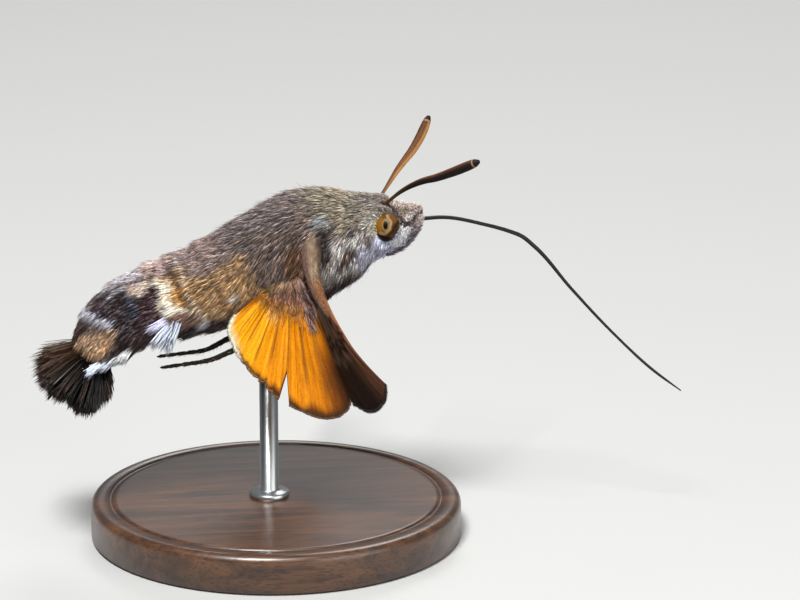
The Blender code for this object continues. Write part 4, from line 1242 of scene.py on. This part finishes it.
def shoulder(word, side):
    """The thick front edge at the forewing's root: an oval tube along the edge that tapers outwards, with a
    knob at its top, under short scales that lie along it."""
    share = np.linspace(0, 1, SHOULDER_ROWS)
    wing_share = share * SHOULDER_REACH
    ahead = AHEAD * (1, side, 1)
    shift, wide, thick = smooth(wing_share, SHOULDER[:, 0], SHOULDER[:, 1:]).T
    path = forewing_sheet(np.full(SHOULDER_ROWS, 0.05), wing_share, side) + shift[:, None] * ahead
    path[:, 2] += 0.35 * (1 - step(share, 0.0, 0.12))
    along = unit(np.gradient(path, axis=0))
    across = square_to(ahead, along)
    over = np.cross(across, along)
    over *= np.sign(over[:, 1:2] * side)
    sizes = np.stack([wide, thick], 1) * (round_end(share, 0.08) * round_end(1 - share, 0.1))[:, None]
    turn = all_round(SHOULDER_SIDES)[:, None]
    rings = path[:, None] + sizes[:, None, :1] * np.cos(turn) * across[:, None]
    rings = rings + sizes[:, None, 1:] * np.sin(turn) * over[:, None]
    # The skin is darker than its scales: painted shade under them.
    shade = shoulder_colours(share[:, None], np.cos(turn[:, 0])) * 0.6
    uv = unwrap(share[:, None], turn[:, 0] / FULL_TURN)
    lofted(f"forewing_shoulder_{word}", rings, "moth skin", shade, uv)

    count = SHOULDER_SCALES
    at = draw.uniform(0.02, 0.94, count)
    turn = draw.uniform(0, FULL_TURN, count)
    middle, along, across, over, sizes = read_along(at, share, path, along, across, over, sizes)
    across = np.cos(turn)[:, None] * across
    over = np.sin(turn)[:, None] * over
    out = unit(across / sizes[:, :1] + over / sizes[:, 1:])
    root = middle + sizes[:, :1] * across + sizes[:, 1:] * over - 0.02 * out
    shade = shoulder_colours(at, np.cos(turn)) * draw.uniform(0.6, 1.3, (count, 1))
    coat(f"forewing_shoulder_coat_{word}", root, square_to(along, out), out,
         draw.uniform(0.3, 0.6, count), draw.uniform(0.04, 0.075, count),
         np.radians(draw.uniform(4, 14, count)), 0.1, draw.normal(0, 0.06, count), shade,
         unwrap(at, turn / FULL_TURN), dark=0.7)


def wings(word, side):
    """Both wings of one side, the forewing's thick edge, the fringes of their outer edges and the hair
    scales at their roots."""
    hind = ("hindwing", hindwing_sheet, HINDWING_VEINS, side)
    fore = ("forewing", forewing_sheet, FOREWING_VEINS, side)
    first = HINDWING_REACH[0, 0]
    spread = HINDWING_REACH[-1, 0] - first
    tear = (TEAR_ANGLE + np.linspace(-1.2, 1.2, 33) * TEAR_HALF_ANGLE - first) / spread if side < 0 else ()
    made = wing(f"hindwing_membrane_{word}", *hind, "hindwing scales", hindwing_colours, tear)
    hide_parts(f"hindwing_{word}")
    made = wing(f"forewing_membrane_{word}", *fore, "forewing scales", forewing_colours)
    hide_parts(f"forewing_{word}")
    shoulder(word, side)

    at = draw.uniform(0.0, 1.0, HINDWING_FRINGE_SCALES)
    near_tear = np.abs(at * spread + first - TEAR_ANGLE) < TEAR_HALF_ANGLE * 1.1
    at = at[~(near_tear & (side < 0))]
    pale = step(at, 0.68, 0.8)
    ochre = step(at, 0.3, 0.5) * (draw.random(len(at)) < 0.5)
    shade = layered("#54361d", ("#8f5c22", ochre), ("#d3cdb6", pale))
    fringe(f"hindwing_fringe_{word}", *hind, at, 0.2 + 0.12 * pale, shade)

    at = draw.uniform(0.06, 0.98, HINDWING_HAIR_SCALES)
    share = np.abs(draw.normal(0, 0.13, len(at))).clip(0, 0.4)
    luck = draw.random(len(at))
    shade = layered(
        "#ab8568",
        ("#bd8d78", step(share, 0.0, 0.08)),
        ("#9c7f52", step(at, 0.7, 0.9)),
        ("#d48c22", 0.85 * step(share, 0.08, 0.24)),
        ("#5a3d2e", 0.85 * (luck < 0.2) * (1 - step(share, 0.06, 0.2))),
        ("#d9bda8", 0.5 * (luck > 0.92)),
    )
    wing_hairs(f"hindwing_hair_{word}", *hind, at, share, 1.2 - 1.5 * share, shade, thin=0.7)

    at = draw.uniform(0.0, 0.15, HINDWING_FRONT_SCALES)
    share = np.abs(draw.normal(0, 0.16, len(at))).clip(0, 0.34)
    pale = 0.8 * (draw.random(len(at)) < 0.25)
    dark = 0.8 * (draw.random(len(at)) < 0.25)
    shade = layered("#9a7468", ("#c9b4b6", pale), ("#3c2826", dark))
    wing_hairs(f"hindwing_front_hair_{word}", *hind, at, share, 1.1, shade)

    at = draw.uniform(0.02, 0.98, HINDWING_DOWN_SCALES)
    share = draw.uniform(0, 0.3, len(at))
    wing_hairs(f"hindwing_down_{word}", *hind, at, share, 1.2, linear("#a0805c"), upper=False)

    at = draw.uniform(0.0, 1.0, FOREWING_FRINGE_SCALES)
    fringe(f"forewing_fringe_{word}", *fore, at, 0.35, linear("#1e140e"))

    at = draw.uniform(0.1, 0.98, FOREWING_HAIR_SCALES)
    share = draw.uniform(0, 0.2, len(at))
    wing_hairs(f"forewing_hair_{word}", *fore, at, share, 1.3, linear("#7d6858"))


def tail_brush():
    """Long flat hair scales in locks, whose roots lie on an even spiral over the end of the tail. The locks
    turn from straight back at the top to straight down at the bottom, and part at two falls. They are
    longest in the middle. Fine wisps stand out on top."""
    ring = on_body(np.full(60, TAIL_ROOT_X), np.linspace(-np.pi, np.pi, 60, endpoint=False))
    middle = ring.mean(0)
    slope = np.radians(TAIL_ANGLE)
    axis = np.array((-np.cos(slope), 0.0, -np.sin(slope)))
    up = np.array((axis[2], 0.0, -axis[0]))
    side = np.array((0.0, 1.0, 0.0))
    half_height = np.abs((ring - middle) @ up).max()
    half_width = np.abs(ring[:, 1]).max()
    i = np.repeat(np.arange(BRUSH_LOCKS), BRUSH_HAIRS)
    count = len(i)
    out = np.sqrt((i + 0.5) / BRUSH_LOCKS)
    turn = i * np.pi * (3 - np.sqrt(5))
    luck = draw.random((5, BRUSH_LOCKS))[:, i]
    high = out * np.sin(turn) + draw.normal(0, 0.09, count)
    wide = out * np.cos(turn) + draw.normal(0, 0.09, count)
    fall = BRUSH_ANGLE - BRUSH_TURN * out * np.sin(turn) + 10 * (luck[0] - 0.5)
    for gap, half in BRUSH_GAPS:
        fall += np.copysign(half, fall - gap) * np.exp(-(((fall - gap) / 9) ** 2))
    fall = np.minimum(fall, BRUSH_LOWEST - 6 * luck[0]) + draw.normal(0, 2.2, count)
    shorter = 0.2 * step(fall, 84, 98) - 0.12 * window(fall, 14, 44, 12)
    for gap, half in BRUSH_GAPS:
        shorter += 0.1 * np.exp(-(((fall - gap) / 6) ** 2))
    length = (BRUSH_LENGTH - BRUSH_SHORTER_AT_RIM * np.abs(out * np.sin(turn)) ** 2.5) * (0.9 + 0.1 * luck[2])
    length *= draw.uniform(0.9, 1.02, count) * (1 - shorter)
    shade = layered("#080605", ("#3c2614", step(high, 0.35, 0.95)))
    shade = shade * draw.uniform(0.4, 1.7, (count, 1)) * (0.6 + 0.6 * luck[3][:, None])
    glint = (draw.random(count) < 0.04) * draw.uniform(0.2, 0.7, count)
    shade = layered(shade, ("#8c8279", glint))
    tip = layered(shade, ("#6f5140", (draw.random(count) < 0.3) * draw.uniform(0.1, 0.4, count)))
    wisp = draw.random(count) < WISP_SHARE
    high = np.where(wisp, draw.uniform(0.75, 0.95, count), high)
    fall = np.radians(np.where(wisp, draw.uniform(20, 30, count), fall))
    length = np.where(wisp, draw.uniform(3.3, 4.1, count), length)
    shade = np.where(wisp[:, None], linear("#33200f"), shade)
    width = np.where(wisp, 0.05, draw.uniform(0.06, 0.13, count))
    root = middle + 0.86 * (high[:, None] * half_height * up + wide[:, None] * half_width * side) + axis * 0.1
    root -= axis * 0.5 * (1 - draw.random(count)[:, None])
    swing = np.radians(BRUSH_SPREAD * out * np.cos(turn) + 10 * (luck[1] - 0.5) + draw.normal(0, 2.2, count))
    along = np.stack([-np.cos(swing) * np.cos(fall), np.sin(swing), -np.cos(swing) * np.sin(fall)], 1)
    face = high[:, None] * up + wide[:, None] * side + 0.05 * draw.normal(0, 1, (count, 3))
    face = square_to(unit(face), along)
    uv = (np.stack([high, wide], 1) * 0.3 + 0.5).clip(0.02, 0.98)
    lift = np.radians(draw.normal(3, 3, count))
    droop = 0.05 + 0.04 * (luck[4] - 0.5)
    made = coat("tail_brush", root, along, face, length, width, lift, droop,
                draw.normal(0, 0.025, count), shade, uv, dark=1.0, tip=tip, rings=BLUNT_TUFT_RINGS,
                finish="brush scales")
    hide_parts("tail_fan")


def side_tufts():
    """Flat fans of white hair scales at each side of the abdomen, which lie back and down in pointed lobes.
    Dark blue scales between the lobes, and a few at random, are painted shade."""
    for kind, x, degrees, spread, length, down, fan, lobes, count, colour in SIDE_TUFTS:
        for word, side in SIDES.items():
            level = (draw.integers(0, lobes, count) + 0.5) / lobes * 2 - 1
            own = np.clip(draw.normal(0, 0.45, count), -1, 1)
            root_x = x - spread * level + 0.12 * draw.normal(0, 1, count)
            turn = side * np.radians(degrees + draw.normal(0, 2.5, count))
            place, _, _, out = body_frame(root_x, turn)
            fall = np.radians(down - fan * level - (3 + 0.13 * fan) * own + draw.normal(0, 1.0, count))
            along = np.stack([-np.cos(fall), np.zeros(count), -np.sin(fall)], 1) + TUFT_LEAN * out
            along = unit(along + 0.03 * draw.normal(0, 1, (count, 3)))
            face = square_to(out + (0.0, 0.0, 0.7), along)
            reach = length * draw.uniform(0.66, 1.03, count) * (1 - 0.12 * np.abs(level))
            shade = linear(colour) * draw.uniform(0.65, 1.15, (count, 1))
            # Painted shade: dark blue scales between the lobes and a few at random.
            between = np.abs(own) > (0.58 if fan > 10 else 0.9)
            shade = layered(shade, ("#15122a", 0.92 * between + 0.8 * (draw.random(count) < 0.06)))
            coat(f"side_tuft_{kind}_{word}", place - 0.1 * out, along, face, reach,
                 draw.uniform(0.05, 0.1, count), np.radians(draw.normal(3, 3, count)), 0.06,
                 -0.18 * own * side, shade, body_uv(root_x, turn), dark=0.8, light=0.97, rings=TUFT_RINGS)


def turned(name, profile, sides, finish, centre_x=0.0):
    """A shape turned on a lathe: each radius and height of the profile carried once round the upright at x,
    with the two ends closed."""
    radius, height = np.array(profile, float).T[..., None]
    turn = all_round(sides)
    rings = np.broadcast_arrays(centre_x + radius * np.cos(turn), radius * np.sin(turn), height)
    return lofted(name, np.stack(rings, -1), finish)


def arc(centre, radius, sweep, points):
    """Places on part of a circle, or of an oval where the radius has two values."""
    turn = np.linspace(0, sweep, points)[:, None]
    return np.array(centre) + np.array(radius) * np.concatenate([np.cos(turn), np.sin(turn)], 1)


def stand():
    """A turned disc with rounded edges and one fine groove, and a rod with a low collar at its foot."""
    inset, half, depth = GROOVE
    disc = [
        [(BASE_RADIUS - BASE_CHAMFER, 0.0), (BASE_RADIUS, BASE_CHAMFER)],
        arc((BASE_RADIUS - BASE_ROUND, BASE_HEIGHT - BASE_ROUND), BASE_ROUND, np.pi / 2, 10),
        arc((BASE_RADIUS - inset, BASE_HEIGHT), (half, -depth), np.pi, 9),
        [(radius, BASE_HEIGHT) for radius in (12.0, 9.0, 6.0, 3.0, 1.0, 0.2)],
    ]
    made = turned("base_disc", np.concatenate(disc), 192, "lacquered walnut")
    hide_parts("stand_base")
    rod = np.array([*ROD_COLLAR, (ROD_RADIUS, ROD_TOP - BASE_HEIGHT)]) + (0.0, BASE_HEIGHT)
    made = turned("rod_shaft", rod, 64, "brushed steel", STAND_X)
    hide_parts("stand_rod")


def make_finishes():
    """Every finish of the model by name."""
    found = {}

    def start(name, roughness, ior=1.5, **values):
        """A new Principled material's node tree and shader."""
        made = bpy.data.materials.new(name)
        made.use_nodes = True
        tree = made.node_tree
        shader = tree.nodes["Principled BSDF"]
        for socket, value in {"Roughness": roughness, "IOR": ior, **values}.items():
            shader.inputs[socket.replace("_", " ")].default_value = value
        found[name] = made
        return tree, shader

    # Skin of chitin under the coat: matt, with the coat's colours darker as painted shade under the coat, and
    # streaks like lying hairs.
    tree, shader = start("moth skin", 0.75)
    colour = add(tree, "ShaderNodeAttribute", {"attribute_name": "colour"})
    uv = add(tree, "ShaderNodeUVMap", {"uv_map": "OFBake"})
    stretch = add(tree, "ShaderNodeMapping", values={"Scale": (28, 260, 1)}, links={"Vector": (uv, "UV")})
    streaks = add(tree, "ShaderNodeTexNoise", values={"Scale": 1.0, "Detail": 3.0},
                  links={"Vector": (stretch, 0)})
    deep = add(tree, "ShaderNodeMapRange", links={"Value": (streaks, 0)},
               values={"From Min": 0.3, "From Max": 0.7, "To Min": 0.55, "To Max": 1.3})
    paint = add(tree, "ShaderNodeVectorMath", {"operation": "SCALE"},
                links={0: (colour, "Color"), "Scale": (deep, 0)})
    bump = add(tree, "ShaderNodeBump", values={"Strength": 0.6, "Distance": 0.00006},
               links={"Height": (streaks, 0)})
    tree.links.new(paint.outputs[0], shader.inputs["Base Color"])
    tree.links.new(bump.outputs[0], shader.inputs["Normal"])

    # Chitin that carries its colours in the mesh, under a fine mottle whose cells are given in millimetres:
    # hair scales with a soft gloss, the longer and glossier ones of the brush, the ringed horn of the
    # antennae with its dusting of scales, and the rougher horn of the legs.
    for name, roughness, gloss, cell, low, high in (
        ("hair scales", 0.5, 0.28, 0.11, 0.8, 1.2),
        ("brush scales", 0.42, 0.22, 0.11, 0.8, 1.2),
        ("antenna horn", 0.55, 0.16, 0.07, 0.7, 1.35),
        ("leg horn", 0.5, 0.25, 0.08, 0.6, 1.4),
    ):
        tree, shader = start(name, roughness, 1.55, Specular_IOR_Level=gloss)
        colour = add(tree, "ShaderNodeAttribute", {"attribute_name": "colour"})
        place = add(tree, "ShaderNodeTexCoord")
        grain = add(tree, "ShaderNodeTexNoise", values={"Scale": 1000 / cell, "Detail": 2.0},
                    links={"Vector": (place, "Object")})
        vary = add(tree, "ShaderNodeMapRange", links={"Value": (grain, 0)},
                   values={"From Min": 0.3, "From Max": 0.7, "To Min": low, "To Max": high})
        paint = add(tree, "ShaderNodeVectorMath", {"operation": "SCALE"},
                    links={0: (colour, "Color"), "Scale": (vary, 0)})
        bump = add(tree, "ShaderNodeBump", values={"Strength": 0.3, "Distance": 0.00001},
                   links={"Height": (grain, 0)})
        tree.links.new(paint.outputs[0], shader.inputs["Base Color"])
        tree.links.new(bump.outputs[0], shader.inputs["Normal"])

    # Wing scales lie like shingles: a dusty, nearly matt surface with fine lines that run out from the
    # wing's root.
    for name, roughness, lines in (("hindwing scales", 0.66, 0.24), ("forewing scales", 0.72, 0.3)):
        tree, shader = start(name, roughness, Specular_IOR_Level=0.06)
        colour = add(tree, "ShaderNodeAttribute", {"attribute_name": "colour"})
        uv = add(tree, "ShaderNodeUVMap", {"uv_map": "fan"})
        place = add(tree, "ShaderNodeTexCoord")
        # Lines 0.1 mm apart across the fan of the wing, which is about 11 mm wide.
        stretch = add(tree, "ShaderNodeMapping", values={"Scale": (230, 7, 1)}, links={"Vector": (uv, "UV")})
        streaks = add(tree, "ShaderNodeTexNoise", values={"Scale": 1.0, "Detail": 3.0},
                      links={"Vector": (stretch, 0)})
        # Single scales, drawn 0.12 mm across so that they show. Real ones are half that.
        scales = add(tree, "ShaderNodeTexVoronoi", values={"Scale": 8000.0},
                     links={"Vector": (place, "Object")})
        dark = add(tree, "ShaderNodeMapRange", links={"Value": (streaks, 0)},
                   values={"From Min": 0.3, "From Max": 0.7, "To Min": 1 - lines, "To Max": 1 + lines * 0.7})
        dust = add(tree, "ShaderNodeMapRange", links={"Value": (scales, "Distance")},
                   values={"From Min": 0.0, "From Max": 0.8, "To Min": 1.1, "To Max": 0.82})
        both = add(tree, "ShaderNodeMath", {"operation": "MULTIPLY"}, links={0: (dark, 0), 1: (dust, 0)})
        paint = add(tree, "ShaderNodeVectorMath", {"operation": "SCALE"},
                    links={0: (colour, "Color"), "Scale": (both, 0)})
        height = add(tree, "ShaderNodeMath", {"operation": "ADD"},
                     links={0: (streaks, 0), 1: (scales, "Distance")})
        bump = add(tree, "ShaderNodeBump", values={"Strength": 0.5, "Distance": 0.00004},
                   links={"Height": (height, 0)})
        tree.links.new(paint.outputs[0], shader.inputs["Base Color"])
        tree.links.new(bump.outputs[0], shader.inputs["Normal"])

    # Compound eye: amber under a clear gloss, in facets drawn 0.06 mm across so that they show. Real ones
    # are a third of that.
    gloss = {"Specular_IOR_Level": 0.06, "Coat_Weight": 0.02, "Coat_Roughness": 0.1}
    tree, shader = start("compound eye", 0.4, 1.55, **gloss)
    colour = add(tree, "ShaderNodeAttribute", {"attribute_name": "colour"})
    place = add(tree, "ShaderNodeTexCoord")
    facets = add(tree, "ShaderNodeTexVoronoi", values={"Scale": 16000.0}, links={"Vector": (place, "Object")})
    vary = add(tree, "ShaderNodeMapRange", links={"Value": (facets, "Distance")},
               values={"From Min": 0.0, "From Max": 0.8, "To Min": 1.08, "To Max": 0.86})
    paint = add(tree, "ShaderNodeVectorMath", {"operation": "SCALE"},
                links={0: (colour, "Color"), "Scale": (vary, 0)})
    bump = add(tree, "ShaderNodeBump", values={"Strength": 0.3, "Distance": 0.00002},
               links={"Height": (facets, "Distance")})
    tree.links.new(paint.outputs[0], shader.inputs["Base Color"])
    tree.links.new(bump.outputs[0], shader.inputs["Normal"])

    # Horn of the proboscis: black, smooth and glossy, with rings too fine to catch more than a broken
    # highlight.
    gloss = {"Specular_IOR_Level": 0.15, "Coat_Weight": 0.1, "Coat_Roughness": 0.1}
    tree, shader = start("proboscis horn", 0.28, 1.56, **gloss)
    place = add(tree, "ShaderNodeTexCoord")
    grain = add(tree, "ShaderNodeTexNoise", values={"Scale": 6000.0, "Detail": 3.0},
                links={"Vector": (place, "Object")})
    tint = add(tree, "ShaderNodeMix", {"data_type": "RGBA"}, links={"Factor": (grain, 0)})
    tint.inputs["A"].default_value = (*linear("#0b0908"), 1)
    tint.inputs["B"].default_value = (*linear("#1e1815"), 1)
    bump = add(tree, "ShaderNodeBump", values={"Strength": 0.25, "Distance": 0.00001},
               links={"Height": (grain, 0)})
    tree.links.new(tint.outputs[2], shader.inputs["Base Color"])
    tree.links.new(bump.outputs[0], shader.inputs["Normal"])

    # Dark walnut, turned and sanded, under a satin lacquer: brown figure along the grain with short dark
    # pores.
    tree, shader = start("lacquered walnut", 0.38, Coat_Weight=0.35, Coat_Roughness=0.22)
    place = add(tree, "ShaderNodeTexCoord")
    # Growth rings about 1.6 mm apart.
    stretch = add(tree, "ShaderNodeMapping", values={"Scale": (60, 620, 620), "Rotation": WOOD_TURN},
                  links={"Vector": (place, "Object")})
    figure = add(tree, "ShaderNodeTexNoise", values={"Scale": 1.0, "Detail": 4.0, "Distortion": 1.2},
                 links={"Vector": (stretch, 0)})
    # Pores 0.1 mm wide and about 2 mm long.
    stretch = add(tree, "ShaderNodeMapping", values={"Scale": (500, 9000, 9000), "Rotation": WOOD_TURN},
                  links={"Vector": (place, "Object")})
    pores = add(tree, "ShaderNodeTexNoise", values={"Scale": 1.0, "Detail": 2.0},
                links={"Vector": (stretch, 0)})
    ramp = add(tree, "ShaderNodeValToRGB", links={"Fac": (figure, 0)})
    for stop, (position, shade) in zip(ramp.color_ramp.elements, ((0.32, "#2a180e"), (0.68, "#5b3a22"))):
        stop.position = position
        stop.color = (*linear(shade), 1)
    dark = add(tree, "ShaderNodeMapRange", links={"Value": (pores, 0)},
               values={"From Min": 0.38, "From Max": 0.5, "To Min": 0.45, "To Max": 1.0})
    paint = add(tree, "ShaderNodeVectorMath", {"operation": "SCALE"},
                links={0: (ramp, "Color"), "Scale": (dark, 0)})
    bump = add(tree, "ShaderNodeBump", values={"Strength": 0.12, "Distance": 0.00005},
               links={"Height": (dark, 0)})
    tree.links.new(paint.outputs[0], shader.inputs["Base Color"])
    tree.links.new(bump.outputs[0], shader.inputs["Normal"])

    # Stainless steel, brushed round the rod: grey, with fine rings that draw the highlight out.
    tree, shader = start("brushed steel", 0.3, Metallic=1.0, Base_Color=(*linear("#b9bbbc"), 1))
    place = add(tree, "ShaderNodeTexCoord")
    # Brush marks 0.05 mm apart up the rod.
    stretch = add(tree, "ShaderNodeMapping", values={"Scale": (300, 300, 20000)},
                  links={"Vector": (place, "Object")})
    brush = add(tree, "ShaderNodeTexNoise", values={"Scale": 1.0, "Detail": 3.0},
                links={"Vector": (stretch, 0)})
    rough = add(tree, "ShaderNodeMapRange", values={"To Min": 0.22, "To Max": 0.42},
                links={"Value": (brush, 0)})
    bump = add(tree, "ShaderNodeBump", values={"Strength": 0.15, "Distance": 0.00001},
               links={"Height": (brush, 0)})
    tree.links.new(rough.outputs[0], shader.inputs["Roughness"])
    tree.links.new(bump.outputs[0], shader.inputs["Normal"])

    start("pale floor", 0.8, Base_Color=(*linear("#b0b0ae"), 1))
    return found


def look_from(made, centre, azimuth, elevation, distance):
    """Puts a light or a camera at a distance from a place, in degrees round and up from it, and turns it
    there."""
    a, e = np.radians((azimuth, elevation))
    away = np.array((np.sin(a) * np.cos(e), -np.cos(a) * np.cos(e), np.sin(e)))
    made.location = (np.array(centre) + away * distance) * MM
    made.rotation_euler = (np.pi / 2 - e, 0, a)
    bpy.context.scene.collection.objects.link(made)


def studio():
    """A pale floor, soft lights and the camera of the photo."""
    mesh = bpy.data.meshes.new("floor")
    corners = [(x, y, 0) for x, y in ((-2, -2), (2, -2), (2, 2), (-2, 2))]
    mesh.from_pydata(corners, [], [(0, 1, 2, 3)])
    mesh.materials.append(finishes["pale floor"])
    floor = bpy.data.objects.new("floor", mesh)
    bpy.context.scene.collection.objects.link(floor)

    for name, azimuth, elevation, distance, size, power in LIGHTS:
        light = bpy.data.lights.new(name, "AREA")
        light.size = size * MM
        light.energy = power
        look_from(bpy.data.objects.new(name, light), LIGHTS_AIM, azimuth, elevation, distance)
    world = bpy.data.worlds.new("studio")
    world.use_nodes = True
    sky = world.node_tree.nodes["Background"]
    sky.inputs["Color"].default_value = (*linear("#e8ecf0"), 1)
    sky.inputs["Strength"].default_value = 0.25
    bpy.context.scene.world = world

    camera = bpy.data.cameras.new("camera")
    camera.sensor_width = 36
    camera.lens = camera.sensor_width * VIEW_DISTANCE / VIEW_WIDTH
    camera.clip_start = 0.01
    eye_point = bpy.data.objects.new("camera", camera)
    look_from(eye_point, VIEW_CENTRE, VIEW_AZIMUTH, VIEW_ELEVATION, VIEW_DISTANCE)
    bpy.context.scene.camera = eye_point
    bpy.context.scene.view_settings.view_transform = "Standard"


finishes = make_finishes()
skin()
for row in BODY_COATS:
    body_coat(*row)
for word, side in SIDES.items():
    palp(word, side)
    eye(word, side)
    orbit(word, side)
    eyelid(word, side)
    antenna(word, side)
    wings(word, side)
    for kind in LEGS:
        leg(kind, word, side)
proboscis()
tail_brush()
side_tufts()
stand()
studio()
